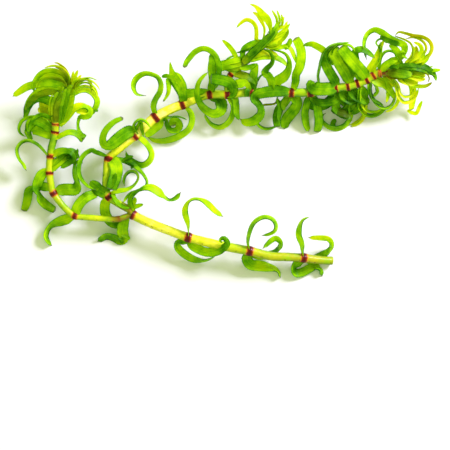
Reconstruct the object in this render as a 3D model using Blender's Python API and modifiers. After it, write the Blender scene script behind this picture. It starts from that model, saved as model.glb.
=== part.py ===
# A cut sprig of curly waterweed, Lagarosiphon muscoides, lying on its side.
# A main stem forks into a left and an upper shoot, and a side shoot grows from the upper one.
import math

import bmesh
import bpy
from mathutils import Vector

# Driving dimensions. Every route below is read on a grid of quarter millimetres: steps across
# to the right, steps down the plan, and steps up from the surface that the sprig lies on.
STEP = 0.00025
PLAN_MIDDLE = (225.0, 142.3)  # grid place that the origin stands under
BLADE_THICKNESS = 0.0002
STEM_GAP = 0.0001  # between a stem and the leaves that grow from it
BLADE_ROW = 7.8  # steps between the cross rows of a blade
STEM_ROW = 9  # steps between the rings of a stem tube
RING_SWELLING = 0.15  # a stem is this much thicker at a leaf node
RING_REACH = 2.5  # steps over which the swelling fades
FOOT_SHARE = 0.6  # a blade's foot is this share of its full width
FOOT_LENGTH = 0.14  # share of a blade's length that the foot takes
TAPER_START = 0.5  # share of a blade's length where it starts to narrow
TIP_SHARE = 0.15

STEM_YELLOW = (0.90, 0.83, 0.06)
LEAF_GREEN = (0.28, 0.54, 0.01)
CROWN_GREEN = (0.55, 0.68, 0.02)

# Each stem has its radii in steps at even stretches from its foot to its end, the route of its
# axis, and which points of the route are leaf nodes.
STEMS = {
    "main_stem": ((4.0, 3.9, 3.8), [
        (333, 261, 4.2), (318, 260, 8), (304, 258, 13), (287, 257, 16), (270, 256, 18),
        (249.5, 251, 20), (228, 247, 21), (210, 243, 21), (188.5, 237.5, 21), (165, 229, 20),
        (145, 221, 19), (132, 214.5, 18)], (2, 5, 8)),
    "left_shoot_stem": ((2.8, 2.8, 2.7, 2.6), [
        (128.5, 215.7, 18), (118, 219, 18), (108, 219, 18), (88, 217.5, 18), (75, 216, 18),
        (68, 211, 18), (62, 205, 18), (53.5, 193.5, 18), (51, 185, 18.5), (49.5, 173, 19),
        (49.5, 164, 19.5), (50.5, 156.5, 20), (51.5, 148, 21), (54, 139, 22), (55.5, 131, 23)],
        (4, 7, 9, 11, 14)),
    "upper_shoot_stem": ((3.2, 3.4, 3.8, 4.0, 3.6, 3.5, 3.4, 3.3), [
        (129, 209.5, 19.5), (120, 204.5, 20), (109, 197, 20), (106, 187, 20), (106.5, 175, 20),
        (108.5, 159, 20), (120, 147, 20), (134, 136, 20.5), (144, 127.5, 21), (155, 117.5, 21.5),
        (168, 111, 22), (182.5, 104.5, 22.5), (195, 100, 23), (209, 95, 23.5), (227, 95.5, 23.5),
        (251, 92.5, 23.5), (271, 92.5, 23.5), (291.5, 93, 23.5), (310, 93, 23.5), (324, 90.5, 24),
        (331, 89, 24.3)], (2, 5, 7, 9, 11, 13, 14, 15, 16, 17, 18)),
    "side_shoot_stem": ((2.8, 2.7, 2.5), [
        (227, 90.5, 25.5), (227.5, 82, 29), (231, 75, 30.5), (238, 69, 32), (247, 60.5, 33.5),
        (254, 53, 35), (262, 45.5, 36)], (2, 4)),
}

# Each leaf has its width in steps, its turn about its own midrib in degrees at even stretches
# from foot to tip (0 lies face up, 90 stands on edge), and the route of its midrib.
LEAVES = {
    "main_leaf_1a": (8, (70, 62, 58), [
        (303, 256, 15), (302, 248, 20), (300, 240, 25), (298.5, 232, 29), (301, 225, 32),
        (305, 220, 33), (309, 217, 32)]),
    "main_leaf_1b": (8, (10, 0, 40, 60, 55), [
        (306, 259, 8), (312, 260.5, 2.5), (320, 256, 1), (328, 251.5, 5), (332, 246, 11),
        (329, 240, 16), (320, 237.5, 18), (308, 237.5, 18)]),
    "main_leaf_1c": (8.5, (35, 15, 10), [
        (302, 260, 11), (297, 263, 10), (292.5, 267, 8), (293.5, 271.5, 4), (299, 272.5, 1.5),
        (308, 269.5, 1), (316, 266, 1.5), (321, 269, 1), (323, 277, 0)]),
    "main_leaf_2a": (7.5, (80, 68, 68), [
        (248.5, 249, 22), (247.8, 241, 27), (249, 232, 32), (252, 224, 36), (257.5, 219, 38.5),
        (265, 216.5, 39), (272, 219, 37.5), (275.5, 225, 35), (274, 231, 32), (268, 234.5, 30),
        (261, 235.5, 29)]),
    "main_leaf_2b": (7.5, (25, 50, 60), [
        (251, 253, 15), (259, 256.5, 10), (268, 255.5, 8), (276, 251.5, 9.5), (281, 246, 14),
        (278, 240, 20), (272, 239.5, 22), (267, 243, 23), (262.5, 248.5, 23)]),
    "main_leaf_2c": (9.5, (20, 10, 25), [
        (249, 255, 17), (248.5, 260, 14), (253, 264.5, 10), (262, 265.5, 7), (271, 266, 4),
        (277, 269, 2), (280.5, 273.5, 1), (281.5, 279, 0)]),
    "main_leaf_3a": (8.5, (85, 50, 90, 60, 50, 60), [
        (188.5, 234, 24), (188.3, 227, 28), (186.5, 219, 33), (186, 212, 37), (187.5, 205, 40),
        (192, 200.5, 42), (197, 199.3, 43), (203, 200, 42.5), (210, 204.5, 40), (216, 210.5, 37),
        (222, 216, 35)]),
    "main_leaf_3b": (8, (25, 15, 60), [
        (190, 240, 19), (194, 246, 17), (202, 251, 18), (211, 252, 21), (217, 251, 27),
        (222, 248.5, 31), (226, 245, 32.5), (227, 241.5, 33), (223, 239, 32.5),
        (219, 241.5, 31.5)]),
    "main_leaf_3c": (7.5, (50, 25, 75), [
        (186, 240, 18), (180, 241.5, 16), (176, 246, 12), (180, 252, 9), (188, 257.5, 7),
        (197, 260.5, 6), (205, 261, 6.5), (212, 258, 8), (216, 255, 10)]),
    "fork_leaf_a": (8.5, (60, 60, 70, 45, 35, 80, 50), [
        (131.5, 210, 21), (130.5, 202, 25), (133, 194.5, 29), (139, 190, 32), (146, 188, 33),
        (153, 188.5, 33), (159, 192.5, 31), (165, 198, 29), (171, 200, 28), (176, 197.5, 28),
        (180, 192.5, 29)]),
    "fork_leaf_b": (9, (10, 5, 10, 55, 50), [
        (127, 219, 17), (124, 225, 14), (122, 232, 9), (121, 238, 4), (117, 239.5, 1.5),
        (110, 237, 1.5), (103, 236.5, 1.5), (96, 242, 0)]),
    "left_leaf_1a": (9, (20, 15, 40), [
        (75.5, 213, 20), (78, 206, 22), (83, 199, 22), (90, 194, 21), (96, 193, 19)]),
    "left_leaf_1b": (9, (15, 20, 70, 78), [
        (72.5, 217, 17), (66, 219.5, 14), (58, 221, 11), (51, 224.5, 8), (46.5, 230, 5),
        (45.5, 237, 3), (50, 245, 0)]),
    "left_leaf_2a": (7.5, (15, 15, 45, 20, 20), [
        (51, 190, 18), (45, 187.5, 16), (38, 187, 12), (32, 186.5, 9), (28, 189, 7),
        (25.5, 196, 5), (24, 203, 2), (21.5, 210, 0)]),
    "left_leaf_2b": (10.5, (10, 5, 80, 80), [
        (57, 193, 18), (63, 190, 17), (70, 190, 15), (75, 189, 14), (77.5, 184, 15),
        (76.5, 177, 17), (75.5, 169, 20), (77.5, 161, 22)]),
    "left_leaf_3a": (9, (30, 20, 85, 45), [
        (47, 171, 19), (42, 172.5, 20), (38, 178, 20), (35.5, 185, 20), (37, 192.5, 16),
        (39, 199, 11), (44, 205, 7), (49.5, 208.5, 5), (54, 210, 4)]),
    "left_leaf_3b": (8, (20, 20, 30), [
        (51, 170, 21), (56, 165.5, 23), (63, 160, 24), (70, 156, 23), (76, 153.5, 21),
        (78, 157, 19)]),
    "left_leaf_4a": (7, (77, 77), [
        (48, 155.5, 22), (43.5, 149, 25), (37, 143.5, 28), (30, 140.5, 29), (23, 142, 28),
        (18, 147.5, 25), (17, 154, 22), (20, 161, 19), (24, 166, 17), (26, 170, 16)]),
    "left_leaf_4b": (7, (45, 40, 50), [
        (53, 155, 22), (58, 151.5, 26), (65, 150, 29), (71, 153.5, 30), (74, 159, 28),
        (68, 164, 26), (60.5, 168, 25)]),
    "left_leaf_5a": (8.5, (10, 10, 80), [
        (52, 136, 21), (46, 133.5, 21), (38, 130.5, 20), (31, 128.5, 18), (28, 130, 15),
        (28.5, 134, 12), (30, 139.5, 10)]),
    "left_leaf_5b": (7, (45, 45, 30), [
        (57.5, 137, 24), (63, 134, 27), (70, 132, 28), (76, 132, 27), (82, 134, 24),
        (86, 135.5, 22)]),
    "upper_leaf_1a": (9, (15, 10, 20), [
        (106.5, 200, 18), (104.5, 207, 15), (105.5, 215, 12), (110, 222, 9), (117, 225.5, 7),
        (125, 223.5, 6)]),
    "upper_leaf_1b": (8, (30, 40, 60), [
        (106, 193.5, 22), (101, 191.5, 23), (97, 188.5, 22), (94, 185, 20), (91, 182.5, 19)]),
    "upper_leaf_1c": (7, (75, 75), [
        (112.5, 194.5, 23), (115, 200, 27), (119, 204.5, 28), (124.5, 207.5, 28),
        (129, 208, 28)]),
    "upper_leaf_1d": (6.5, (77, 77), [
        (111.5, 193, 21), (117, 191, 20), (125, 190.5, 19), (132.5, 187.5, 17), (137, 181.5, 14),
        (136.5, 175, 11), (131, 171, 9), (125.5, 173, 8), (123, 179, 7), (124, 186, 6.5)]),
    "upper_leaf_2a": (7, (70, 70), [
        (106.5, 156, 22), (101, 152.8, 25), (95, 151, 28), (91, 150.5, 30), (85, 154, 32),
        (80.5, 160, 33), (79, 168, 33), (80.5, 176, 32), (85, 183, 30), (91, 187.5, 29),
        (96, 190, 28)]),
    "upper_leaf_2b": (10.5, (10, 10, 20), [
        (111, 160.5, 22), (115.5, 166, 24), (116.5, 174, 25), (114.5, 183, 26), (113, 190, 27)]),
    "upper_leaf_2c": (7, (30, 75, 75, 40), [
        (110.5, 157.5, 20), (117, 159.5, 18), (124, 161.5, 16), (131, 165, 15), (138, 170, 18),
        (144, 175.5, 18), (146.8, 182, 20), (144, 187.5, 21), (138, 190.5, 22), (131, 193.5, 22),
        (126, 198, 22), (122.5, 200.5, 24)]),
    "upper_leaf_3a": (9.5, (15, 10, 15, 70, 55), [
        (133, 132, 25), (126, 133.5, 29), (118, 138.5, 30), (110, 144.5, 29), (105, 144, 31),
        (103.5, 138, 33), (106.5, 131, 34), (112, 125, 34), (118, 121, 33), (124, 118.5, 32)]),
    "upper_leaf_3b": (7.5, (50, 45, 50), [
        (137.5, 138, 20), (143, 140.5, 18), (149, 146, 16), (152, 153, 14), (149.5, 160, 12),
        (144, 164.5, 10), (138, 165, 9), (132, 161.5, 8.5), (127.5, 157, 9), (125, 151, 11)]),
    "upper_leaf_3c": (6, (78, 78), [
        (136, 132.5, 25), (134.5, 126, 29), (138, 121.5, 32), (143, 120, 33), (148, 123, 32),
        (151.5, 128, 30)]),
    "upper_leaf_4a": (7.5, (40, 50, 60, 75, 45, 60), [
        (154.5, 113, 25), (153.5, 106, 29), (156, 99.5, 33), (160.5, 92, 36), (162, 85, 38),
        (159, 78, 39), (152.5, 75, 39), (145, 74.5, 38), (138, 78.5, 36), (134.5, 85, 34),
        (135, 91, 32), (140, 96, 31), (147, 96, 31)]),
    "upper_leaf_4b": (8, (20, 15, 20), [
        (158, 121, 19), (156.5, 125, 16), (151.5, 131, 14.5), (146.5, 136.5, 13)]),
    "upper_leaf_4c": (7, (30, 78, 78), [
        (159, 118.5, 20), (165, 117.5, 20), (170, 118, 21), (178, 116.5, 23), (186, 119, 24)]),
    "upper_leaf_4d": (6, (30, 70, 70, 60), [
        (160, 120, 18), (166, 121, 15), (167.5, 127, 12), (172, 131, 10), (178, 129.5, 10),
        (180, 124.5, 12), (176, 121, 14), (171, 123.5, 16)]),
    "upper_leaf_5a": (9, (20, 10, 30), [
        (183, 100.5, 27.5), (182.3, 96, 31), (180.5, 89, 35), (177, 80, 38), (173.5, 71, 39),
        (170.5, 64, 38)]),
    "upper_leaf_5b": (8.5, (40, 45, 45, 50), [
        (185.5, 107.5, 21), (190, 113, 19), (191, 121, 16), (188.5, 129, 13), (181.5, 135, 10),
        (173, 138, 8), (163, 140, 5), (154, 139.5, 2), (147, 136.5, 0)]),
    "upper_leaf_6a": (10, (10, 5, 30, 40, 45), [
        (205.5, 92.5, 27), (196, 93.5, 27), (187, 94, 26), (180, 92, 24), (176, 87.5, 23),
        (172, 81.5, 23), (167.5, 81, 23), (167.5, 88, 24), (168, 94, 25), (163.5, 101.5, 26)]),
    "upper_leaf_6b": (7.5, (60, 55, 50, 55), [
        (213, 90, 27), (216.5, 83, 32), (218, 75, 37), (218.5, 66, 41), (216, 57.5, 43),
        (210, 52, 44), (203, 50.5, 43), (195.5, 53, 41), (190, 58.5, 38), (186.5, 63.5, 36),
        (184.5, 68.5, 34)]),
    "upper_leaf_6c": (8, (50, 50, 30, 30, 35, 40), [
        (211, 98, 21), (216, 98.5, 19), (221, 102, 18), (222, 108, 18), (217.5, 112.5, 19),
        (211, 112.5, 22), (204.5, 109, 27), (199.5, 103, 32), (197.5, 95.5, 36), (198.5, 88, 38),
        (202, 80.5, 39), (208.5, 73.5, 39)]),
    "upper_leaf_7a": (10, (10, 10), [
        (229, 92, 27), (233, 88, 32), (233, 84, 37), (226, 82, 40), (218, 80.5, 41),
        (211.5, 80, 41)]),
    "upper_leaf_7b": (7.5, (35, 35, 45, 60), [
        (229.5, 99, 22), (233.5, 103, 20), (235, 110, 17), (232.5, 119, 14), (226, 125.5, 12),
        (218, 127, 11), (210.5, 123.5, 11), (205.5, 116, 12)]),
    "upper_leaf_8b": (8, (30, 20, 40), [
        (252, 89, 27), (252.5, 82, 31), (253, 75, 34), (255, 68.5, 36), (257, 64, 36)]),
    "upper_leaf_8c": (6, (70, 70), [
        (253, 96.5, 20), (253, 104, 15), (252.5, 113, 9), (255.5, 121.5, 4), (261, 127, 2),
        (268, 128.5, 2), (275, 126, 4), (279, 121.5, 7)]),
    "upper_leaf_9a": (8.5, (20, 35, 30, 60), [
        (273.5, 87.5, 26), (277, 81.5, 30), (284, 77.5, 34.5), (288.5, 70.5, 38), (288.5, 62, 40),
        (284, 55.5, 41), (277, 52.5, 41), (271, 52, 40)]),
    "upper_leaf_9b": (7, (30, 35, 70), [
        (270, 88.5, 28), (269, 79, 33), (265, 74, 36), (270, 68, 38), (272, 60, 39),
        (268, 54, 39), (263, 51, 38)]),
    "upper_leaf_10a": (9.5, (10, 5, 40, 30, 40), [
        (288.5, 92, 27), (280, 91.5, 29), (270, 92.5, 30), (260, 94, 29.5), (254, 98, 28),
        (254.5, 104, 26), (259, 109, 23), (261, 114.5, 20), (258, 120, 17), (251, 123, 14),
        (244.5, 121.5, 12), (240, 118, 10)]),
    "upper_leaf_10b": (8, (30, 35, 30), [
        (293.5, 89, 27), (295.5, 81, 31), (296.5, 74, 34), (300, 67, 36), (301, 59, 37),
        (299.5, 49, 37), (296.5, 40, 36)]),
    "upper_leaf_10c": (8, (25, 30, 20), [
        (294, 97, 21), (298, 103, 17), (296.5, 111, 12), (291, 119, 6), (285.5, 128, 0)]),
    "upper_leaf_10d": (8, (40, 30, 30), [
        (288, 97.5, 21), (284.5, 104, 18), (282, 111, 15), (279, 119, 11), (277, 127, 8)]),
    "upper_leaf_11a": (7.5, (50, 55, 60), [
        (309, 97, 21), (307, 105, 17), (306, 114, 11), (308, 124, 5), (312, 131, 1)]),
    "upper_leaf_11b": (7, (50, 50), [
        (312, 97, 21), (316, 104, 17), (318, 113, 12), (318, 122, 7), (319, 131, 2)]),
    "upper_leaf_11c": (6, (75, 75), [
        (313, 89, 24), (317, 84, 24), (318, 77, 27), (319, 69, 34), (320, 62, 41),
        (321.5, 56, 46), (325, 50, 48), (332, 46, 48), (340, 45, 46), (348, 43.5, 44)]),
}

# A crown is the end of a shoot with its young leaves still crowded round it, grown together.
CROWNS = {
    "left_shoot_crown": ((2.5, 2.5, 2.4, 2.2, 1.2), [
        (56, 127, 23.8), (57.5, 112, 27), (61, 100, 30), (66, 91.5, 32.5), (71, 84.5, 35)], (0,), [
        (7, (70, 70), [(56, 127, 24), (47, 127, 23), (44, 123.5, 25), (39, 119.5, 28),
                       (32, 117.5, 29), (25, 119, 28), (20.5, 124, 26), (19, 130, 23),
                       (22, 135, 20), (27, 137.5, 18)]),
        (7, (65, 65), [(57.5, 117, 26), (51, 118.5, 30), (46, 115.5, 34), (40, 116, 36),
                       (35, 119.5, 36), (31, 124.5, 33), (28.5, 129, 30)]),
        (7, (45, 45, 70, 20), [(57, 121, 25), (66, 120, 27), (72, 112, 30), (80, 107, 34),
                               (88, 107, 34), (91, 111, 31), (87, 116, 28), (82, 117, 26),
                               (79, 121, 25), (78, 127, 24), (80, 133, 21), (81, 141, 17)]),
        (8, (40, 40), [(57, 118, 26), (65, 119, 28), (69, 112, 29), (70.5, 100, 32),
                       (71, 90, 35)]),
        (8, (35, 35), [(69, 88, 34), (67, 81, 40), (60, 74, 44), (52, 71.5, 45), (44, 74, 43),
                       (37, 80.5, 39), (34, 88, 34), (34, 94, 29)]),
        (8, (25, 25), [(67, 90, 33), (62, 83, 41), (52, 81, 43), (42, 83.5, 41), (34, 86.5, 36),
                       (27, 88, 33), (20, 92.5, 29), (14, 97, 26)]),
        (8, (35, 35), [(65, 93, 32), (58, 88.5, 36), (48, 88.5, 36), (39, 92, 33), (31, 98, 26),
                       (26, 105, 18), (24.5, 112, 9)]),
        (8, (35, 35), [(62, 98, 30.5), (56, 97, 29), (46, 97.5, 28), (37, 98.5, 25),
                       (30, 102.5, 18), (27, 108, 11), (25, 113, 4), (22.5, 119, 0)]),
        (6, (0, 0), [(60, 102, 29.5), (54, 101, 25), (45, 101, 22), (38, 100, 19)]),
        (5, (65, 65), [(70, 86, 34.5), (67, 75, 44), (61, 69, 46), (54, 67, 45),
                       (46, 69.5, 43)]),
        (6, (60, 60), [(70, 87, 34), (78, 81.5, 41), (84, 79.5, 43), (89.5, 82, 42),
                       (92.5, 87, 39), (93, 92.5, 35)]),
        (5, (65, 65), [(68, 89, 33.5), (79, 88, 38), (86, 87.5, 39), (92, 90, 38),
                       (97, 95, 36)]),
        (7, (50, 50), [(66, 92, 32.5), (72, 93, 32), (79, 91.5, 35), (86, 91, 36), (93, 94, 34),
                       (97.5, 99, 31), (97.5, 105, 28), (94, 111, 25), (91, 116, 22)]),
    ]),
    "side_shoot_crown": ((2.5, 2.4, 1.2), [
        (263, 44.7, 36.1), (270, 37, 36.5), (277, 28, 37)], (), [
        (6, (40, 40), [(264, 43.5, 36.3), (269.5, 35, 42), (269, 28, 46), (266, 21, 48),
                       (260, 14, 49), (254.5, 8.5, 48), (249.5, 6, 47)]),
        (5, (50, 50), [(264, 43.5, 36.3), (265, 36, 42), (264, 29, 45), (260.5, 22, 46),
                       (257, 17, 45), (252.5, 14, 44)]),
        (6, (45, 45), [(264.5, 43, 36.3), (259, 42, 41), (257, 35, 43), (255.5, 28, 45),
                       (251, 23, 45), (245.5, 22, 44), (240.5, 25, 42), (236.5, 29, 40)]),
        (4, (60, 60), [(276, 30, 37), (277.5, 25, 41), (276, 19, 43), (271.5, 12.5, 43)]),
        (3, (50, 50), [(277, 29, 37), (280, 24, 41), (279, 19, 43), (277, 13, 43)]),
        (4, (40, 40), [(276, 31, 37), (283, 27, 41), (282.5, 21, 42), (281, 17, 42)]),
        (4, (40, 40), [(275, 32, 37), (285, 31, 40), (285.5, 25, 42)]),
        (6, (40, 40), [(266, 42, 36.4), (278, 47, 37), (285, 43, 37), (288, 36, 38),
                       (288, 30, 39)]),
        (5, (40, 40), [(265, 43, 36.3), (276, 49, 36), (285, 46.5, 37), (290.5, 49, 37),
                       (293.5, 56, 36), (297, 64, 34)]),
    ]),
    "upper_shoot_crown": ((3.2, 3.3, 3.2, 3.0, 2.6, 1.4), [
        (332.5, 88.7, 24.4), (336, 88, 24.5), (348, 86.5, 25.5), (357.5, 83.5, 26.5),
        (366.5, 80, 27.5), (373, 76, 28.5), (380, 73.5, 29), (390, 73, 29), (400, 72, 30),
        (415, 72, 30), (428, 72, 29)], (1, 2, 3, 4, 5), [
        (9.5, (20, 30), [(336, 88, 25), (334.5, 84, 30), (331, 76, 33), (327, 67, 37),
                         (326, 59, 39), (322, 52, 40), (314, 46.5, 39), (304, 46, 37)]),
        (11, (10, 5, 30, 60), [(337, 87, 27), (325, 89, 30), (316, 89, 30), (310, 86, 29),
                               (309, 81.5, 27), (314, 81, 26)]),
        (9, (30, 30), [(336, 89, 24), (332, 99, 17), (325, 106, 10), (316, 107, 8),
                       (308, 104.5, 7)]),
        (9, (20, 20), [(338, 88, 24), (338, 100, 18), (336, 107, 14), (339, 113, 10),
                       (345, 117, 8), (350, 118, 7)]),
        (10, (10, 10), [(348, 86.5, 26), (343, 74, 34), (338, 65, 38), (333, 56, 40),
                        (332, 49, 40)]),
        (7.5, (55, 55), [(348, 87, 25), (350, 98, 18), (351, 108, 11), (350.5, 117, 5),
                         (346, 124.5, 2), (338, 127.5, 1), (329.5, 126, 1), (324, 121, 2),
                         (322, 116, 4), (325, 112.5, 6)]),
        (10, (10, 10), [(350, 86, 25), (356, 94, 20), (363, 98, 18), (369, 103, 15)]),
        (10, (10, 10), [(358, 83.5, 27), (361, 73, 35), (357, 67, 39), (349, 60, 42),
                        (341, 54, 44), (334, 48, 44)]),
        (7, (60, 60), [(360, 83, 26), (359, 98, 19), (360, 107, 12), (366, 113.5, 6),
                       (374, 115, 3), (382, 111, 3), (389, 105, 5)]),
        (6, (30, 30), [(366, 80, 27), (366, 98, 17), (366.5, 108, 9), (365, 117, 3),
                       (359, 123.5, 0), (352.5, 126, 0)]),
        (5, (40, 40), [(370, 78, 28), (372, 68, 32), (375, 62, 36), (378, 54, 40), (381, 48, 43),
                       (383, 42, 45)]),
        (7, (50, 50), [(388, 73, 29), (396, 66, 34), (402, 55, 40), (404, 46, 43),
                       (396, 41.5, 45), (387, 38, 46), (378, 33, 47), (370, 33.5, 46),
                       (365, 40, 44), (363.5, 49, 41), (366, 60, 38)]),
        (6, (60, 60), [(378, 74, 29), (379, 66, 34), (380, 58, 39), (385, 52.5, 42),
                       (391, 53, 42), (397, 58.5, 40), (400.5, 67, 36)]),
        (6, (55, 55), [(402, 72, 30), (415, 66, 37), (425, 63, 40), (430, 56, 42), (430, 49, 43),
                       (425, 42.5, 44), (417, 38.5, 45), (408, 37, 45), (400, 33.5, 44),
                       (395, 34, 43), (393.5, 38, 42)]),
        (5, (65, 65), [(402, 72, 30), (412, 62, 38), (420, 57, 40), (424, 51, 41), (422, 45, 42),
                       (416, 41, 42), (409, 39.5, 42), (404, 41, 41)]),
        (7, (25, 25), [(398, 72, 30), (408, 66.5, 34), (418, 66.5, 35), (427, 69.5, 33),
                       (433, 75, 29), (436, 80, 26)]),
        (6, (50, 50), [(398, 72.5, 29.5), (406, 79, 28), (413, 84, 27), (420, 86, 26),
                       (427, 84, 26), (431, 82, 26)]),
        (6, (70, 70), [(371, 77, 28), (370.5, 92, 22), (374, 101, 18), (381, 107, 16),
                       (389, 107, 15), (395, 101, 15), (395.5, 93, 17), (390, 86.5, 20)]),
        (4, (10, 10), [(382, 74, 29), (386.5, 93, 23), (386, 101, 20), (384, 107, 18)]),
        (5, (60, 60), [(390, 73, 29), (397, 89, 24), (399, 97, 21), (405, 103, 19),
                       (412, 99.5, 18), (416.5, 93, 19), (418, 88, 21)]),
        (6, (20, 20), [(398, 73, 29), (412, 86, 22), (414, 95, 16), (411.5, 104, 8),
                       (408, 111, 2)]),
        (5, (45, 45), [(386, 73.5, 29), (393, 90, 23), (396, 98, 16), (399, 106, 8),
                       (404, 113, 0)]),
    ]),
}


def place(across, down, up):
    """World position of a place on the grid."""
    return Vector((across - PLAN_MIDDLE[0], PLAN_MIDDLE[1] - down, up)) * STEP


def smooth_line(route, spacing):
    """Points at even distances along a Catmull-Rom curve through the route's own points."""
    points = [place(*point) for point in route]
    ends = [2 * points[0] - points[1]] + points + [2 * points[-1] - points[-2]]
    fine = [points[0]]
    for before, start, end, after in zip(ends, ends[1:], ends[2:], ends[3:]):
        for part in range(1, 13):
            t = part / 12
            fine.append(0.5 * (2 * start + (end - before) * t
                               + (2 * before - 5 * start + 4 * end - after) * t ** 2
                               + (3 * start - before - 3 * end + after) * t ** 3))
    reached = [0.0]
    for start, end in zip(fine, fine[1:]):
        reached.append(reached[-1] + (end - start).length)
    count = max(4, round(reached[-1] / (spacing * STEP)))
    line, span = [], 0
    for index in range(count + 1):
        along = reached[-1] * index / count
        while span < len(fine) - 2 and reached[span + 1] < along:
            span += 1
        share = (along - reached[span]) / (reached[span + 1] - reached[span])
        line.append(fine[span].lerp(fine[span + 1], min(share, 1.0)))
    return line


def value_at(values, share):
    """The value at a share of the length, from values given at even stretches of it."""
    reach = share * (len(values) - 1)
    low = min(int(reach), len(values) - 2)
    return values[low] + (values[low + 1] - values[low]) * (reach - low)


def width_share(share):
    """Width of a blade at a share of its length: a narrow foot, an even blade, a drawn-out tip."""
    foot = FOOT_SHARE + (1 - FOOT_SHARE) * min(1.0, share / FOOT_LENGTH)
    taper = max(0.0, (share - TAPER_START) / (1 - TAPER_START))
    return foot * (1 - (1 - TIP_SHARE) * taper ** 2)


def blade_line(leaf):
    """Centre and half-width vector at each sample of a leaf, held clear of the surface."""
    width, turns, route = leaf
    centres = smooth_line(route, 0.5)
    last = len(centres) - 1
    rows, level = [], None
    for index, centre in enumerate(centres):
        tangent = (centres[min(index + 1, last)] - centres[max(index - 1, 0)]).normalized()
        side = tangent.cross(Vector((0, 0, 1))).normalized()
        if level and side.dot(level) < 0:
            side.negate()
        level = side
        turn = math.radians(value_at(turns, index / last))
        half = width * STEP * width_share(index / last) / 2
        reach = (level * math.cos(turn) + level.cross(tangent) * math.sin(turn)) * half
        lowest = abs(reach.z) + BLADE_THICKNESS / 2
        rows.append((Vector((centre.x, centre.y, max(centre.z, lowest))), reach))
    return rows


def stem_line(radii, route, rings):
    """Centre and radius at each sample of a stem, thicker at its leaf nodes."""
    centres = smooth_line(route, 1)
    knots = [place(*route[index]) for index in rings]
    line = []
    for index, centre in enumerate(centres):
        radius = value_at(radii, index / (len(centres) - 1)) * STEP
        for knot in knots:
            away = (centre - knot).length / (RING_REACH * STEP)
            radius *= 1 + RING_SWELLING * math.exp(-away * away)
        line.append((centre, radius))
    return line


def material(name, colour, roughness):
    made = bpy.data.materials.new(name)
    made.use_nodes = True
    shader = made.node_tree.nodes["Principled BSDF"]
    shader.inputs["Base Color"].default_value = (*colour, 1)
    shader.inputs["Roughness"].default_value = roughness
    return made


def stem_tube(name, radii, route, rings, finish, collection):
    """A bevelled curve along the stem, with extra rings where a leaf node swells it."""
    line = stem_line(radii, route, rings)
    knots = [place(*route[index]) for index in rings]
    kept = []
    for index, (centre, radius) in enumerate(line):
        near_knot = any((centre - knot).length < RING_REACH * STEP for knot in knots)
        if index % STEM_ROW == 0 or index == len(line) - 1 or (near_knot and index % 2 == 0):
            kept.append((centre, radius))
    curve = bpy.data.curves.new(name, "CURVE")
    curve.dimensions = "3D"
    curve.bevel_depth = 1.0
    curve.bevel_resolution = 2
    curve.use_fill_caps = True
    spline = curve.splines.new("POLY")
    spline.points.add(len(kept) - 1)
    for point, (centre, radius) in zip(spline.points, kept):
        point.co = (*centre, 1)
        point.radius = radius
    curve.materials.append(finish)
    made = bpy.data.objects.new(name, curve)
    collection.objects.link(made)
    return made


def first_free_row(rows, stems):
    """Index of the first sample where the blade's middle and edges are all clear of the stems."""
    gap = STEM_GAP + BLADE_THICKNESS / 2
    for index, (centre, reach) in enumerate(rows):
        spots = (centre - reach, centre - reach / 2, centre, centre + reach / 2, centre + reach)
        if all((spot - axis).length > radius + gap
               for spot in spots for line in stems for axis, radius in line):
            return index
    return 0


def blade(name, leaf, finish, collection, stems=()):
    """A leaf: a grid laid along its route, given its thickness by Solidify."""
    rows = blade_line(leaf)
    first = first_free_row(rows, stems)
    last = len(rows) - 1
    stretches = max(3, round((last - first) * 0.5 / BLADE_ROW))
    mesh = bpy.data.meshes.new(name)
    shape = bmesh.new()
    bmesh.ops.create_grid(shape, x_segments=1, y_segments=stretches, size=1)
    for vert in shape.verts:
        centre, reach = rows[round(first + (last - first) * (vert.co.y + 1) / 2)]
        vert.co = centre + reach * vert.co.x
    shape.to_mesh(mesh)
    shape.free()
    mesh.materials.append(finish)
    made = bpy.data.objects.new(name, mesh)
    collection.objects.link(made)
    wall = made.modifiers.new("Blade thickness", "SOLIDIFY")
    wall.thickness = BLADE_THICKNESS
    wall.offset = 0
    return made


def crown(name, radii, route, rings, leaves, finish, collection, cutters):
    """The end of a shoot made one with its young leaves: a tube joined to every blade."""
    tube = stem_tube(name + "_tube", radii, route, rings, finish, collection)
    graph = bpy.context.evaluated_depsgraph_get()
    mesh = bpy.data.meshes.new_from_object(tube.evaluated_get(graph))
    bpy.data.objects.remove(tube)
    shape = bmesh.new()
    shape.from_mesh(mesh)
    bmesh.ops.remove_doubles(shape, verts=shape.verts, dist=STEP / 100)
    shape.to_mesh(mesh)
    shape.free()
    mesh.name = name
    made = bpy.data.objects.new(name, mesh)
    collection.objects.link(made)
    blades = bpy.data.collections.new(name + " blades")
    cutters.children.link(blades)
    for index, leaf in enumerate(leaves, 1):
        young = blade(f"{name}_blade_{index}", leaf, finish, blades)
        young.hide_render = True
        young.display_type = "WIRE"
    union = made.modifiers.new("Grown together", "BOOLEAN")
    union.operation = "UNION"
    union.operand_type = "COLLECTION"
    union.collection = blades
    union.solver = "EXACT"
    return made


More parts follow.
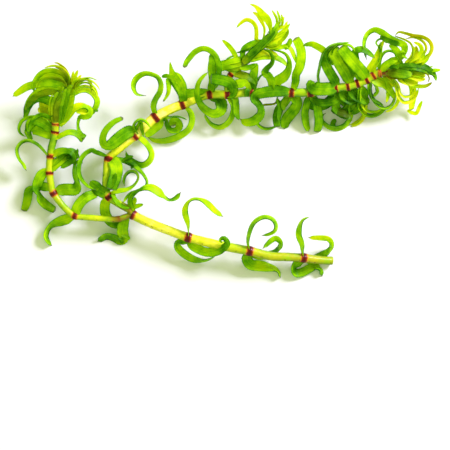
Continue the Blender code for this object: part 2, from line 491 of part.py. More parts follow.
def build():
    for old in list(bpy.data.objects):
        bpy.data.objects.remove(old)
    sprig = bpy.data.collections.new("Curly waterweed")
    cutters = bpy.data.collections.new("Young blades")
    for collection in (sprig, cutters):
        bpy.context.scene.collection.children.link(collection)
    stem_finish = material("Stem", STEM_YELLOW, 0.35)
    leaf_finish = material("Leaf", LEAF_GREEN, 0.45)
    crown_finish = material("Crown", CROWN_GREEN, 0.45)
    for name, stem in STEMS.items():
        stem_tube(name, *stem, stem_finish, sprig)
    lines = [stem_line(*stem) for stem in STEMS.values()]
    lines += [stem_line(*made[:3]) for made in CROWNS.values()]
    for name, leaf in LEAVES.items():
        blade(name, leaf, leaf_finish, sprig, lines)
    for name, made in CROWNS.items():
        crown(name, *made, crown_finish, sprig, cutters)


build()
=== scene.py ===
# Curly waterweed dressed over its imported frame: stems, open leaves and crowded shoot tips.
# Routes are on the frame's own grid of quarter millimetres: steps to the right, steps down the
# plan, and steps up from the surface that the sprig lies on.
import math
import random

import bmesh
import bpy
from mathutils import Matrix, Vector, noise


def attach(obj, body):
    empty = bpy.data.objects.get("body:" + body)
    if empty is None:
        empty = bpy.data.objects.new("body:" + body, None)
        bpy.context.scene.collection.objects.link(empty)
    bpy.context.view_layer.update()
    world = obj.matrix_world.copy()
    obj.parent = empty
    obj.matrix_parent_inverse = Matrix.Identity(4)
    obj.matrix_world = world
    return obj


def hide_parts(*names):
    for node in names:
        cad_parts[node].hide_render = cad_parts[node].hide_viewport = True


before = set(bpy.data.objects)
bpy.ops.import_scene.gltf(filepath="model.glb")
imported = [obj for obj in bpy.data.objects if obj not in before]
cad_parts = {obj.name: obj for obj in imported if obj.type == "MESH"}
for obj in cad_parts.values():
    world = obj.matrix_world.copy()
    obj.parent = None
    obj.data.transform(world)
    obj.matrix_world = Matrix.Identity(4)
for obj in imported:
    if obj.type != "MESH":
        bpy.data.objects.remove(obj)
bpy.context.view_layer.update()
chance = random.Random(5)

step = 0.00025                  # metres to one step of the grid
planMiddle = (225.0, 142.3)     # grid place that the origin stands under
partsPerSpan = 12               # of a smooth line, between two points of its route
smoothAngle = math.radians(50)  # edges blunter than this are shaded smooth


def place(across, down, up):
    # metres from the origin to a place on the grid
    return Vector((across - planMiddle[0], planMiddle[1] - down, up)) * step


def onGrid(point):
    # the grid place of a point in metres
    steps = point / step
    return (steps.x + planMiddle[0], planMiddle[1] - steps.y, steps.z)


def smoothLine(route, spacing):
    # points at even distances along a Catmull-Rom curve through the route's own points
    points = [place(*point) for point in route]
    ends = [2 * points[0] - points[1]] + points + [2 * points[-1] - points[-2]]
    fine = [points[0]]
    for before, start, end, after in zip(ends, ends[1:], ends[2:], ends[3:]):
        for part in range(1, partsPerSpan + 1):
            t = part / partsPerSpan
            fine.append(0.5 * (2 * start + (end - before) * t
                               + (2 * before - 5 * start + 4 * end - after) * t ** 2
                               + (3 * start - before - 3 * end + after) * t ** 3))
    reached = [0.0]
    for start, end in zip(fine, fine[1:]):
        reached.append(reached[-1] + (end - start).length)
    count = max(4, round(reached[-1] / (spacing * step)))
    line, span = [], 0
    for index in range(count + 1):
        along = reached[-1] * index / count
        while span < len(fine) - 2 and reached[span + 1] < along:
            span += 1
        share = (along - reached[span]) / max(reached[span + 1] - reached[span], 1e-9)
        line.append(fine[span].lerp(fine[span + 1], min(share, 1.0)))
    return line


def tangentAt(line, index):
    after = line[min(index + 1, len(line) - 1)]
    return (after - line[max(index - 1, 0)]).normalized()


def levelSide(tangent):
    # the level direction square to a line that runs along the tangent
    return tangent.cross(Vector((0, 0, 1))).normalized()


def valueAt(values, share):
    # the value at a share of the length, from values given at even stretches of it
    reach = share * (len(values) - 1)
    low = max(0, min(int(reach), len(values) - 2))
    return values[low] + (values[low + 1] - values[low]) * (reach - low)


def selectOnly(*pieces):
    bpy.ops.object.select_all(action="DESELECT")
    for piece in pieces:
        piece.select_set(True)
    bpy.context.view_layer.objects.active = pieces[0]


def pickVerts(test):
    # in edit mode, selects the vertices that pass a test
    mesh = bpy.context.edit_object.data
    shape = bmesh.from_edit_mesh(mesh)
    for vert in shape.verts:
        vert.select_set(bool(test(vert)))
    shape.select_flush_mode()
    bmesh.update_edit_mesh(mesh)


def setAttribute(mesh, name, values):
    layer = mesh.attributes.get(name) or mesh.attributes.new(name, "FLOAT", "POINT")
    layer.data.foreach_set("value", values)


def dressMesh(piece, marks, finish):
    # the colour marks that the finish reads, and the finish itself
    for name, values in marks.items():
        setAttribute(piece.data, name, values)
    piece.data.materials.clear()
    piece.data.materials.append(finish)


# Shader helpers


def put(tree, kind, inputs=None, **settings):
    # adds a shader node, sets its options, and links or fills its sockets
    node = tree.nodes.new("ShaderNode" + kind)
    for name, value in settings.items():
        setattr(node, name, value)
    for name, value in (inputs or {}).items():
        if isinstance(value, bpy.types.NodeSocket):
            tree.links.new(value, node.inputs[name])
        else:
            node.inputs[name].default_value = value
    return node


def calc(tree, operation, first, second=0.0, third=0.0):
    return put(tree, "Math", {0: first, 1: second, 2: third}, operation=operation).outputs[0]


def band(tree, value, low, high):
    # 0 below low and 1 above high, eased between them; low may be the larger of the two
    node = put(tree, "MapRange", {"Value": value, "From Min": low, "From Max": high},
               interpolation_type="SMOOTHSTEP")
    return node.outputs["Result"]


def aboutZero(tree, value):
    # a value from 0 to 1 made to swing evenly about 0
    return calc(tree, "SUBTRACT", value, 0.5)


def addMasks(tree, value, masks):
    # the value with each mask added by its own amount
    for mask, amount in masks:
        value = calc(tree, "ADD", value, calc(tree, "MULTIPLY", mask, amount))
    return value


def blendColour(tree, share, first, second):
    node = put(tree, "Mix", data_type="RGBA")
    sockets = [socket for socket in node.inputs if socket.enabled]
    for socket, value in zip(sockets, (share, first, second)):
        if isinstance(value, bpy.types.NodeSocket):
            tree.links.new(value, socket)
        else:
            socket.default_value = value if isinstance(value, float) else (*value, 1)
    return [socket for socket in node.outputs if socket.enabled][0]


def blendBands(tree, skin, value, bands):
    # lays colours over a skin, each from where the value passes its own band
    for low, high, colour in bands:
        skin = blendColour(tree, band(tree, value, low, high), skin, colour)
    return skin


def colourSteps(tree, value, steps):
    # a colour ramp from pairs of place and linear colour
    node = put(tree, "ValToRGB", {"Fac": value})
    ramp = node.color_ramp
    while len(ramp.elements) < len(steps):
        ramp.elements.new(0.5)
    for element, (spot, colour) in zip(ramp.elements, steps):
        element.position = spot
        element.color = (*colour, 1)
    return node.outputs["Color"]


def newGroup(name, inputs, outputs):
    group = bpy.data.node_groups.new(name, "ShaderNodeTree")
    for inOut, sockets in (("INPUT", inputs), ("OUTPUT", outputs)):
        for title, kind in sockets.items():
            group.interface.new_socket(name=title, in_out=inOut, socket_type="NodeSocket" + kind)
    start = group.nodes.new("NodeGroupInput")
    end = group.nodes.new("NodeGroupOutput")
    return group, start.outputs, end.inputs


def newMaterial(name):
    made = bpy.data.materials.new(name)
    made.use_nodes = True
    made.node_tree.nodes.clear()
    return made, made.node_tree


def objectPlace(tree):
    return put(tree, "TexCoord").outputs["Object"]


def ownLay(tree):
    # the piece's own UV map: across and along a blade, round and along a stem
    return put(tree, "UVMap", uv_map="UVMap").outputs[0]


def stretched(tree, vector, scale):
    return put(tree, "Mapping", {"Vector": vector, "Scale": scale}).outputs[0]


def readAttribute(tree, name):
    return put(tree, "Attribute", attribute_name=name, attribute_type="GEOMETRY").outputs["Fac"]


# Finishes

tissueIor = 1.4

mottleLook = {
    "details": {"Patch": 2.0, "Grain": 3.0},
    "roughness": 0.55,
    "contrast": (0.3, 0.7),
}


def tissueMottle():
    # soft patches and fine grain that leaves and stems share, both from 0 to 1
    tree, given, made = newGroup(
        "tissueMottle", {"Vector": "Vector", "Patch size": "Float", "Grain size": "Float"},
        {"Patch": "Float", "Grain": "Float"})
    for title, detail in mottleLook["details"].items():
        scale = calc(tree, "DIVIDE", 1.0, given[title + " size"])
        cloud = put(tree, "TexNoise", {"Vector": given["Vector"], "Scale": scale,
                                       "Detail": detail, "Roughness": mottleLook["roughness"]})
        tree.links.new(band(tree, cloud.outputs["Fac"], *mottleLook["contrast"]), made[title])
    return tree


def addMottle(tree, vector, look):
    return put(tree, "Group", {"Vector": vector, "Patch size": look["patchSize"],
                               "Grain size": look["grainSize"]}, node_tree=mottle).outputs


def wetSkin(tree, look, colour, through, rough, height):
    # the surface of a wet plant that lets a share of the light through
    bump = put(tree, "Bump", {"Height": height, "Strength": look["bump"],
                              "Distance": look["bumpDepth"]}).outputs[0]
    front = put(tree, "BsdfPrincipled", {
        "Base Color": colour, "Roughness": rough, "IOR": tissueIor, "Normal": bump,
        "Specular IOR Level": look["shine"], "Coat Weight": look["wet"],
        "Coat Roughness": look["coatRoughness"]})
    back = put(tree, "BsdfTranslucent", {"Color": through, "Normal": bump})
    mixed = put(tree, "MixShader", {0: look["lightThrough"], 1: front.outputs[0],
                                    2: back.outputs[0]})
    put(tree, "OutputMaterial", {"Surface": mixed.outputs[0]})


bladeLook = {
    "patchSize": 0.0024,           # metres
    "grainSize": 0.00022,
    "cells": (26, 5, 1),           # long cells run from foot to tip
    "rib": (0.09, 0.02),           # bands by the distance from the midrib, 0.5 at the edge
    "flankStart": (0.02, 0.1),
    "flankEnd": (0.2, 0.1),
    "margin": (0.41, 0.48),
    "bendInsideShade": (0.38, 0.8),     # painted shade inside a bend and painted light outside it, in bands by how sharp the bend is
    "bendOutsideLight": (-0.1, -0.7),
    "foot": (0.16, 0.0),           # bands by the share of the length
    "farEnd": (0.75, 1.0),
    "dryTip": (0.955, 0.99),
    "dryness": 0.85,
    "roughness": 0.38,
    "grainRoughness": 0.16,
    "surface": [                   # by age, from the old dark leaf to the young pale one
        (0.0, (0.026, 0.150, 0.001)), (0.25, (0.118, 0.350, 0.001)), (0.45, (0.295, 0.550, 0.002)),
        (0.65, (0.465, 0.705, 0.002)), (0.85, (0.690, 0.790, 0.004)), (1.0, (0.870, 0.870, 0.050))],
    "through": [
        (0.0, (0.100, 0.350, 0.001)), (0.25, (0.340, 0.690, 0.002)), (0.5, (0.660, 0.900, 0.004)),
        (0.8, (0.940, 0.960, 0.010)), (1.0, (1.000, 0.970, 0.100))],
    "stained": ((0.200, 0.110, 0.002), (0.520, 0.230, 0.004)),
    "dry": ((0.16, 0.17, 0.08), (0.20, 0.20, 0.09)),
}


def bladeTissue():
    # a leaf's colour by its age, its midrib and margins, painted shade inside its bends and painted
    # light outside them, and the light through it
    numbers = ("Age", "Bend", "Stain", "Streak", "Patchiness", "Inside shade depth")
    tree, given, made = newGroup(
        "bladeTissue", {"Lay": "Vector", "Place": "Vector", **dict.fromkeys(numbers, "Float")},
        {"Colour": "Color", "Through": "Color", "Roughness": "Float", "Height": "Float"})
    look = bladeLook
    lay = put(tree, "SeparateXYZ", {0: given["Lay"]}).outputs
    across, along = lay["X"], lay["Y"]
    fromRib = calc(tree, "ABSOLUTE", aboutZero(tree, across))
    clouds = addMottle(tree, given["Place"], look)
    cells = put(tree, "TexNoise", {"Vector": stretched(tree, given["Lay"], look["cells"]),
                                   "Scale": 1.0, "Detail": 4.0}).outputs["Fac"]
    rib = band(tree, fromRib, *look["rib"])
    flank = calc(tree, "MULTIPLY", band(tree, fromRib, *look["flankStart"]),
                 band(tree, fromRib, *look["flankEnd"]))
    margin = band(tree, fromRib, *look["margin"])
    # painted shade along the inside of a bend and painted light along its outside
    inside = calc(tree, "MULTIPLY", band(tree, given["Bend"], *look["bendInsideShade"]),
                  given["Inside shade depth"])
    paintedOutsideLight = band(tree, given["Bend"], *look["bendOutsideLight"])
    age = addMasks(tree, given["Age"], [
        (aboutZero(tree, cells), given["Streak"]),
        (aboutZero(tree, clouds["Patch"]), given["Patchiness"]),
        (aboutZero(tree, clouds["Grain"]), 0.10),
        (rib, 0.05), (flank, -0.04), (margin, -0.24), (inside, -0.42), (paintedOutsideLight, 0.2),
        (band(tree, along, *look["foot"]), 0.16), (band(tree, along, *look["farEnd"]), 0.04)])
    dry = calc(tree, "MULTIPLY", band(tree, along, *look["dryTip"]), look["dryness"])
    for title, steps, stained, dried in (
            ("Colour", look["surface"], look["stained"][0], look["dry"][0]),
            ("Through", look["through"], look["stained"][1], look["dry"][1])):
        colour = blendColour(tree, given["Stain"], colourSteps(tree, age, steps), stained)
        tree.links.new(blendColour(tree, dry, colour, dried), made[title])
    rough = calc(tree, "MULTIPLY_ADD", clouds["Grain"], look["grainRoughness"], look["roughness"])
    tree.links.new(addMasks(tree, rough, [(margin, 0.1)]), made["Roughness"])
    height = addMasks(tree, calc(tree, "MULTIPLY", cells, 0.6),
                      [(clouds["Grain"], 0.4), (rib, 0.5)])
    tree.links.new(height, made["Height"])
    return tree


def bladeMaterial(name, look):
    made, tree = newMaterial(name)
    marks = {title: readAttribute(tree, title.lower()) for title in ("Age", "Bend", "Stain")}
    skin = put(tree, "Group", {
        "Lay": ownLay(tree), "Place": objectPlace(tree), **marks, "Streak": look["streak"],
        "Patchiness": look["patchiness"], "Inside shade depth": look["edgeDepth"]},
        node_tree=tissue).outputs
    wetSkin(tree, look, skin["Colour"], skin["Through"], skin["Roughness"], skin["Height"])
    return made


# each kind of blade has its own depth of painted shade inside its bends
oldBladeLook = {"streak": 0.24, "patchiness": 0.22, "edgeDepth": 1.0, "bump": 0.5,
                "bumpDepth": 0.00004, "shine": 0.07, "wet": 0.02, "coatRoughness": 0.18,
                "lightThrough": 0.5}
youngBladeLook = {**oldBladeLook, "streak": 0.26, "patchiness": 0.26, "edgeDepth": 0.9,
                  "bump": 0.4}

stemLook = {
    "patchSize": 0.0030,           # metres
    "grainSize": 0.00030,
    "ribbing": (14, 0.9, 1),       # fine ribs run along the stem
    "ribs": 0.34,                  # how much the ribs, patches and the painted shade at the flanks shift the colour
    "patchiness": 0.16,
    "edge": -0.16,
    "edgeBand": (0.55, 1.0),       # painted shade at both flanks seen from above, by the distance from the middle, 1 at the edge
    "skin": [                      # by tone, from dark green to yellow
        (0.0, (0.012, 0.150, 0.001)), (0.25, (0.110, 0.340, 0.001)), (0.5, (0.360, 0.570, 0.002)),
        (0.7, (0.640, 0.710, 0.006)), (0.85, (0.900, 0.860, 0.040)), (1.0, (1.000, 0.950, 0.220))],
    "raggedGrain": 0.16,           # how far grain and ribs break a rust ring's edge
    "raggedRibs": 0.3,
    "rust": [                      # a ring is orange at both sides and dark inside
        (0.12, 0.46, (0.700, 0.230, 0.006)), (0.34, 0.58, (0.200, 0.012, 0.000)),
        (0.62, 0.9, (0.090, 0.003, 0.000))],
    "stained": (0.260, 0.075, 0.006),
    "stainPatches": (0.3, 1.1),
    "fleckStretch": (7, 1.3, 1),   # dark flecks of dead skin sit along the flanks
    "fleckSize": (0.27, 0.16),
    "fleckSide": (0.3, 0.7),
    "fleckChoice": (0.5, 0.58),
    "flecks": 0.9,
    "fleckColour": (0.090, 0.022, 0.004),
    "cut": [                       # the cut end is pale; its air canals are dark green, their own green deepened with painted shade
        (0.1, 0.5, (0.070, 0.150, 0.004)), (0.6, 1.0, (0.520, 0.600, 0.110))],
    "roughness": 0.3,
    "grainRoughness": 0.14,
    "bump": 0.35,
    "bumpDepth": 0.00006,
    "shine": 0.25,
    "wet": 0.1,
    "coatRoughness": 0.1,
    "lightThrough": 0.2,
}


def stemMaterial(look):
    made, tree = newMaterial("stemSkin")
    lay = ownLay(tree)
    side = readAttribute(tree, "side")
    clouds = addMottle(tree, objectPlace(tree), look)
    ribs = put(tree, "TexNoise", {"Vector": stretched(tree, lay, look["ribbing"]),
                                  "Scale": 1.0, "Detail": 3.0}).outputs["Fac"]
    swungRibs, swungGrain = aboutZero(tree, ribs), aboutZero(tree, clouds["Grain"])
    # the stem's flanks, seen from above, are darkened as painted shade
    age = addMasks(tree, readAttribute(tree, "age"), [
        (swungRibs, look["ribs"]), (aboutZero(tree, clouds["Patch"]), look["patchiness"]),
        (band(tree, side, *look["edgeBand"]), look["edge"])])
    skin = colourSteps(tree, age, look["skin"])
    stain = calc(tree, "MULTIPLY", readAttribute(tree, "stain"),
                 band(tree, calc(tree, "ADD", clouds["Patch"], ribs), *look["stainPatches"]))
    skin = blendColour(tree, stain, skin, look["stained"])
    ragged = addMasks(tree, readAttribute(tree, "ring"), [
        (swungGrain, look["raggedGrain"]), (swungRibs, look["raggedRibs"])])
    skin = blendBands(tree, skin, ragged, look["rust"])
    flecks = put(tree, "TexVoronoi", {"Vector": stretched(tree, lay, look["fleckStretch"]),
                                      "Scale": 1.0, "Randomness": 1.0}).outputs
    fleck = calc(tree, "MULTIPLY", band(tree, flecks["Distance"], *look["fleckSize"]),
                 band(tree, side, *look["fleckSide"]))
    picked = put(tree, "SeparateColor", {0: flecks["Color"]}).outputs[0]
    fleck = calc(tree, "MULTIPLY", fleck, band(tree, picked, *look["fleckChoice"]))
    skin = blendColour(tree, calc(tree, "MULTIPLY", fleck, look["flecks"]), skin,
                       look["fleckColour"])
    skin = blendBands(tree, skin, readAttribute(tree, "cut"), look["cut"])
    rough = calc(tree, "MULTIPLY_ADD", clouds["Grain"], look["grainRoughness"], look["roughness"])
    wetSkin(tree, look, skin, skin, rough, calc(tree, "ADD", ribs, clouds["Grain"]))
    return made


mottle = tissueMottle()
tissue = bladeTissue()
oldBlade = bladeMaterial("oldBlade", oldBladeLook)
youngBlade = bladeMaterial("youngBlade", youngBladeLook)
stemSkin = stemMaterial(stemLook)
print("finishes made")


# The leaf that every blade is copied from

leafShape = {
    "cellsAcross": 6,
    "shortRows": 44,
    "longRows": 88,
    "longFrom": 70,          # samples in a route that takes the leaf of more rows
    "spacing": 0.5,          # steps between the samples of a route
    "footWidth": 0.6,        # the foot's share of the full width
    "footLength": 0.14,      # share of the length that the foot takes
    "taperStart": 0.62,
    "tipWidth": 0.3,
    "hairStart": 0.95,       # share of the length where the tip runs out in a hair
    "bluntTip": 0.65,        # a tip wider than this has its hair start later
    "bluntHairStart": 0.985,
    "hairFall": 1.5,
    "hairWidth": 0.012,
    "trough": ((1 / 3, 0.005), (2 / 3, 0.02), (1.0, 0.05)),  # rise at each column of the grid
    "ribDrop": -0.03,
    "toothed": (0.2, 1.88),  # the stretch with teeth, of a blade two long
    "toothOut": 1.10,        # how much wider the blade is at a tooth
    "toothReach": 0.006,     # how far a tooth leans to the tip
    "thickness": 0.00013,
    "floorGap": 0.6,         # least height above the floor, in thicknesses
    "waves": 17,             # of the ruffled margins
    "waveStart": (0, 6.28),
    "ruffle": (0.03, 0.08),
    "toneSwing": (-0.03, 0.03),
    "bendReach": 6,          # samples over which a bend is judged
    "bendScale": 14,
    "flatBend": 0.35,        # how much of a bend's painted shade and light shows where the blade lies flat
    "footReach": 0.5,        # a foot within this share of a stem's radius is on the stem
    "footSink": 0.25,        # place of a moved foot between the stem's axis and its old place
}


def widthShare(share, leaf):
    # the blade's share of its full width at a share of its length
    tip = leaf.get("tip", leafShape["tipWidth"])
    foot = leaf.get("foot", leafShape["footWidth"])
    foot += (1 - foot) * min(1.0, share / leafShape["footLength"])
    taper = max(0.0, (share - leafShape["taperStart"]) / (1 - leafShape["taperStart"]))
    wide = foot * (1 - (1 - tip) * taper ** 2) * valueAt(leaf.get("spread", (1, 1)), share)
    hair = leafShape["bluntHairStart"] if tip > leafShape["bluntTip"] else leafShape["hairStart"]
    if share < hair:
        return wide
    fall = ((1 - share) / (1 - hair)) ** leafShape["hairFall"]
    return max(leafShape["hairWidth"], wide * fall)


def onColumn(vert, column):
    # whether a vertex lies that far from the midrib, on either side
    return abs(abs(vert.co.x) - column) < 0.01


def modelLeaf(name, rows):
    # a flat grid two wide and two long, troughed, toothed and tapered
    bpy.ops.object.select_all(action="DESELECT")
    bpy.ops.mesh.primitive_grid_add(x_subdivisions=leafShape["cellsAcross"],
                                    y_subdivisions=rows, size=2, location=(0, 1, 0))
    leaf = bpy.context.object
    leaf.name = name
    bpy.ops.object.transform_apply(location=True, rotation=False, scale=False)
    bpy.ops.object.mode_set(mode="EDIT")
    for column, rise in ((0.0, leafShape["ribDrop"]), *leafShape["trough"]):
        pickVerts(lambda vert: onColumn(vert, column))
        bpy.ops.transform.translate(value=(0, 0, rise))
    rowLength = 2 / rows
    first, last = leafShape["toothed"]
    pickVerts(lambda vert: onColumn(vert, 1.0) and round(vert.co.y / rowLength) % 2 == 1
              and first < vert.co.y < last)
    bpy.ops.transform.resize(value=(leafShape["toothOut"], 1, 1), center_override=(0, 1, 0))
    bpy.ops.transform.translate(value=(0, leafShape["toothReach"], 0))
    for row in range(rows + 1):
        low = (row - 0.5) * rowLength
        pickVerts(lambda vert: low < vert.co.y <= low + rowLength)
        wide = widthShare(row / rows, {})
        bpy.ops.transform.resize(value=(wide, 1, wide), center_override=(0, row * rowLength, 0))
    bpy.ops.object.mode_set(mode="OBJECT")
    return leaf


def leafLine(leaf):
    # centre, side vector and bend at each sample of a leaf's route, held clear of the floor
    centres = smoothLine(leaf["route"], leafShape["spacing"])
    last = len(centres) - 1
    half = leaf["width"] * step / 2
    line, level = [], None
    for index, centre in enumerate(centres):
        tangent = tangentAt(centres, index)
        side = levelSide(tangent)
        if level is not None and side.dot(level) < 0:
            side.negate()
        level = side
        turn = math.radians(valueAt(leaf["turns"], index / last))
        across = level * math.cos(turn) + level.cross(tangent) * math.sin(turn)
        lowest = abs(across.z) * half * widthShare(index / last, leaf) + leafShape["thickness"]
        middle = Vector((centre.x, centre.y, max(centre.z, lowest)))
        line.append({"middle": middle, "across": across * half, "level": level,
                     "up": across.cross(tangent) * half, "tangent": tangent})
    for index, spot in enumerate(line):
        low = max(index - leafShape["bendReach"], 0)
        high = min(index + leafShape["bendReach"], last)
        turned = line[high]["tangent"] - line[low]["tangent"]
        turned /= (high - low) * leafShape["spacing"]
        bend = turned.dot(spot["level"]) * leafShape["bendScale"]
        spot["bend"] = max(-1.0, min(1.0, bend))
    return line


def layLeaf(name, leaf, finish):
    # a copy of the modelled leaf laid along its route and given its thickness
    line = leafLine(leaf)
    selectOnly(longLeaf if len(line) > leafShape["longFrom"] else shortLeaf)
    bpy.ops.object.duplicate()
    laid = bpy.context.object
    laid.name = name
    laid.data.name = name
    marks = {"age": [], "bend": [], "stain": []}
    wave = chance.uniform(*leafShape["waveStart"])
    ruffle = chance.uniform(*leafShape["ruffle"])
    swing = chance.uniform(*leafShape["toneSwing"])
    flat = leafShape["flatBend"]
    last = len(line) - 1
    for vert in laid.data.vertices:
        x, y, z = vert.co
        share = min(max(y / 2, 0.0), 1.0)
        low = min(int(share * last), last - 1)
        mix = share * last - low
        before, after = line[low], line[low + 1]
        z += ruffle * x * x * math.sin(wave + share * leafShape["waves"])
        wide = widthShare(share, leaf)
        resized = wide / widthShare(share, {})
        spot = before["middle"].lerp(after["middle"], mix)
        spot += before["across"].lerp(after["across"], mix) * x * resized
        spot += before["up"].lerp(after["up"], mix) * z * resized
        vert.co = (spot.x, spot.y, max(spot.z, leafShape["thickness"] * leafShape["floorGap"]))
        # the bend mark, strongest where the blade stands on edge, places painted shade inside a
        # curl and painted light outside it
        onEdge = math.sin(math.radians(valueAt(leaf["turns"], share)))
        bend = before["bend"] * (1 - mix) + after["bend"] * mix
        outward = max(-1.0, min(1.0, x * resized / wide))
        marks["age"].append(valueAt(leaf["tone"], share) + swing)
        marks["bend"].append(bend * outward * (flat + (1 - flat) * onEdge ** 2))
        marks["stain"].append(valueAt(leaf.get("stain", (0, 0)), share))
    dressMesh(laid, marks, finish)
    selectOnly(laid)
    wall = laid.modifiers.new("Blade thickness", "SOLIDIFY")
    wall.thickness = leafShape["thickness"]
    wall.offset = 0
    bpy.ops.object.modifier_apply(modifier=wall.name)
    bpy.ops.object.shade_smooth_by_angle(angle=smoothAngle)
    return laid


def blade(width, turns, tone, **more):
    # a leaf's own values by name; its route is among the rest, and foot, tip, spread or stain
    return {"width": width, "turns": turns, "tone": tone, **more}


shortLeaf = modelLeaf("shortLeaf", leafShape["shortRows"])
longLeaf = modelLeaf("longLeaf", leafShape["longRows"])
print("leaf modelled")


# Stems

stemShape = {
    "spacing": 1.0,            # steps between the rings of a tube
    "roundness": 4,            # of the curve's bevel
    "swelling": 0.15,          # a stem is this much thicker at a leaf node
    "swellingReach": 2.5,
    "rustReach": 4.2,          # steps from a node to where its rust ring has faded out
    "rustSizes": (0.85, 1.2),
    "rustFar": 4,              # radii past which a node's ring doesn't show
    "stainFall": 0.7,
    "uneven": 0.00005,         # metres that the skin stands in and out
    "unevenScale": 1100,
    "cutRind": 0.14,           # the cut end, as shares of the stem's radius
    "cutPith": 0.40,
    "cutWall": 0.045,          # between the air canals
    "canalDepth": 0.22,
    "canalTaper": 0.01,
    "cutFlat": 0.02,           # deeper than this is inside a canal
    "cutSquare": 0.9,          # least cosine between the stem and a face of its end
}

# Radii and tone are given at even stretches of a stem. Tone runs from 0, dark green, to 1, yellow.
# Nodes count the points of the route, rust is how strong each node's ring is, joins are points
# inside the stem that carries this one, and a stain is a place, its reach in steps and a strength.
stems = {
    "main_stem": {
        "radii": (4.15, 4.4, 4.6, 4.6, 4.5),
        "tone": (0.5, 0.56, 0.58, 0.6, 0.6, 0.64, 0.74, 0.76, 0.84, 0.84, 0.76),
        "stains": [((125, 214, 20), 12, 1.3), ((333, 261, 4), 2.5, 0.8), ((305, 259, 14), 75, 0.4)],
        "rust": (1, 1, 1, 1),
        "ringSize": 1.15,
        "cut": True,
        "nodes": (2, 5, 8, 11),
        "route": [
            (333, 261, 4.2), (318, 260, 8), (304, 258, 13), (287, 257, 16), (270, 256, 18),
            (249.5, 251, 20), (228, 247, 21), (210, 243, 21), (188.5, 237.5, 21), (165, 229, 20),
            (145, 221, 19), (132, 214.5, 18)],
    },
    "left_shoot_stem": {
        "radii": (3.1, 3.1, 3.4, 3.7, 3.9),
        "tone": (0.4, 0.5, 0.6, 0.62, 0.6, 0.52, 0.58, 0.6, 0.66, 0.3, 0.5),
        "stains": [((122, 217, 18), 13, 1.3)],
        "rust": (0.85, 0.85, 0.8, 0.8, 0.9),
        "joins": [(131.5, 214.3, 18.2)],
        "nodes": (4, 7, 9, 11, 14),
        "route": [
            (128.5, 215.7, 18), (118, 219, 18), (108, 219, 18), (88, 217.5, 18), (75, 216, 18),
            (68, 211, 18), (62, 205, 18), (53.5, 193.5, 18), (51, 185, 18.5), (49.5, 173, 19),
            (49.5, 164, 19.5), (50.5, 156.5, 20), (51.5, 148, 21), (54, 139, 22), (55.5, 131, 23)],
    },
    "upper_shoot_stem": {
        "radii": (3.7, 3.7, 4.2, 5.0, 4.9, 4.6, 4.4, 4.4, 4.4, 4.3),
        "tone": (
            0.5, 0.55, 0.56, 0.66, 0.82, 0.9, 0.94, 0.86, 0.62, 0.6, 0.56, 0.48, 0.42, 0.4, 0.36),
        "stains": [
            ((125, 212, 21), 10, 1.2), ((108, 158, 21), 9, 0.7), ((187, 103, 24), 6, 0.25),
            ((133, 137, 22), 5.5, 1.4)],
        "rust": (1, 1, 0.85, 1, 1, 1, 1, 0.8, 0.2, 1, 1),
        "joins": [(131.5, 213, 18.6)],
        "nodes": (2, 5, 7, 9, 11, 13, 14, 15, 16, 17, 18),
        "route": [
            (129, 209.5, 19.5), (120, 204.5, 20), (109, 197, 20), (106, 187, 20), (106.5, 175, 20),
            (108.5, 159, 20), (119, 148.5, 20), (134, 136, 20.5), (144, 127.5, 21),
            (155, 117.5, 21.5), (168, 110.5, 22), (182.5, 104.5, 22.5), (195, 99.5, 23),
            (209, 94.5, 23.5), (227, 94.5, 23.5), (251, 92.5, 23.5), (271, 92.5, 23.5),
            (291.5, 92.7, 23.5), (310, 92.5, 23.5), (324, 90.5, 24), (331, 89, 24.3)],
    },
    "side_shoot_stem": {
        "radii": (3, 3, 3.8, 4.8),
        "tone": (0.5, 0.4, 0.3, 0.2, 0.06),
        "stains": [((241, 66, 33), 7, 0.5)],
        "rust": (0.9, 0.1),
        "ringSize": 0.7,
        "joins": [(226.5, 94, 23.6)],
        "nodes": (2, 4),
        "route": [
            (227, 90.5, 25.5), (227.5, 82, 29), (231, 75, 30.5), (238, 69, 32), (247, 60.5, 33.5),
            (254, 53, 35), (262, 45.5, 36)],
    },
}


def stemLine(stem):
    # centre, radius and tangent at each sample of a stem, thicker at its leaf nodes
    centres = smoothLine(stem.get("joins", []) + stem["route"], stemShape["spacing"])
    knots = [place(*stem["route"][index]) for index in stem["nodes"]]
    line = []
    for index, centre in enumerate(centres):
        radius = valueAt(stem["radii"], index / (len(centres) - 1)) * step
        for knot in knots:
            away = (centre - knot).length / (stemShape["swellingReach"] * step)
            radius *= 1 + stemShape["swelling"] * math.exp(-away * away)
        line.append((centre, radius, tangentAt(centres, index)))
    return line


def nearestOn(line, point):
    return min(range(len(line)), key=lambda index: (line[index][0] - point).length_squared)


def rustRings(stem, line):
    # middle, axis, reach and strength of the rust ring at each node
    rings = []
    for index, strength in zip(stem["nodes"], stem["rust"]):
        middle, radius, axis = line[nearestOn(line, place(*stem["route"][index]))]
        reach = stemShape["rustReach"] * step * chance.uniform(*stemShape["rustSizes"])
        rings.append((middle, axis, reach * stem.get("ringSize", 1), strength))
    return rings


def rustAt(point, radius, rings):
    rust = 0.0
    for middle, axis, reach, strength in rings:
        gap = point - middle
        if gap.length < stemShape["rustFar"] * radius:
            rust = max(rust, strength * (1 - abs(gap.dot(axis)) / reach))
    return rust


def stainAt(point, stains):
    stain = 0.0
    for spot, reach, strength in stains:
        near = max(0.0, 1 - (point - place(*spot)).length / (reach * step))
        stain = max(stain, strength * near ** stemShape["stainFall"])
    return stain


def cutAt(point, line):
    # 1 on the cut face inside its rind, 0.5 in the air canals, and 0 elsewhere
    start, thick, along = line[0]
    inward = (point - start).dot(along)
    across = (point - start - along * inward).length
    if inward >= thick or across >= thick * (1 - stemShape["cutRind"] / 2):
        return 0.0
    return 1.0 if inward < thick * stemShape["cutFlat"] else 0.5


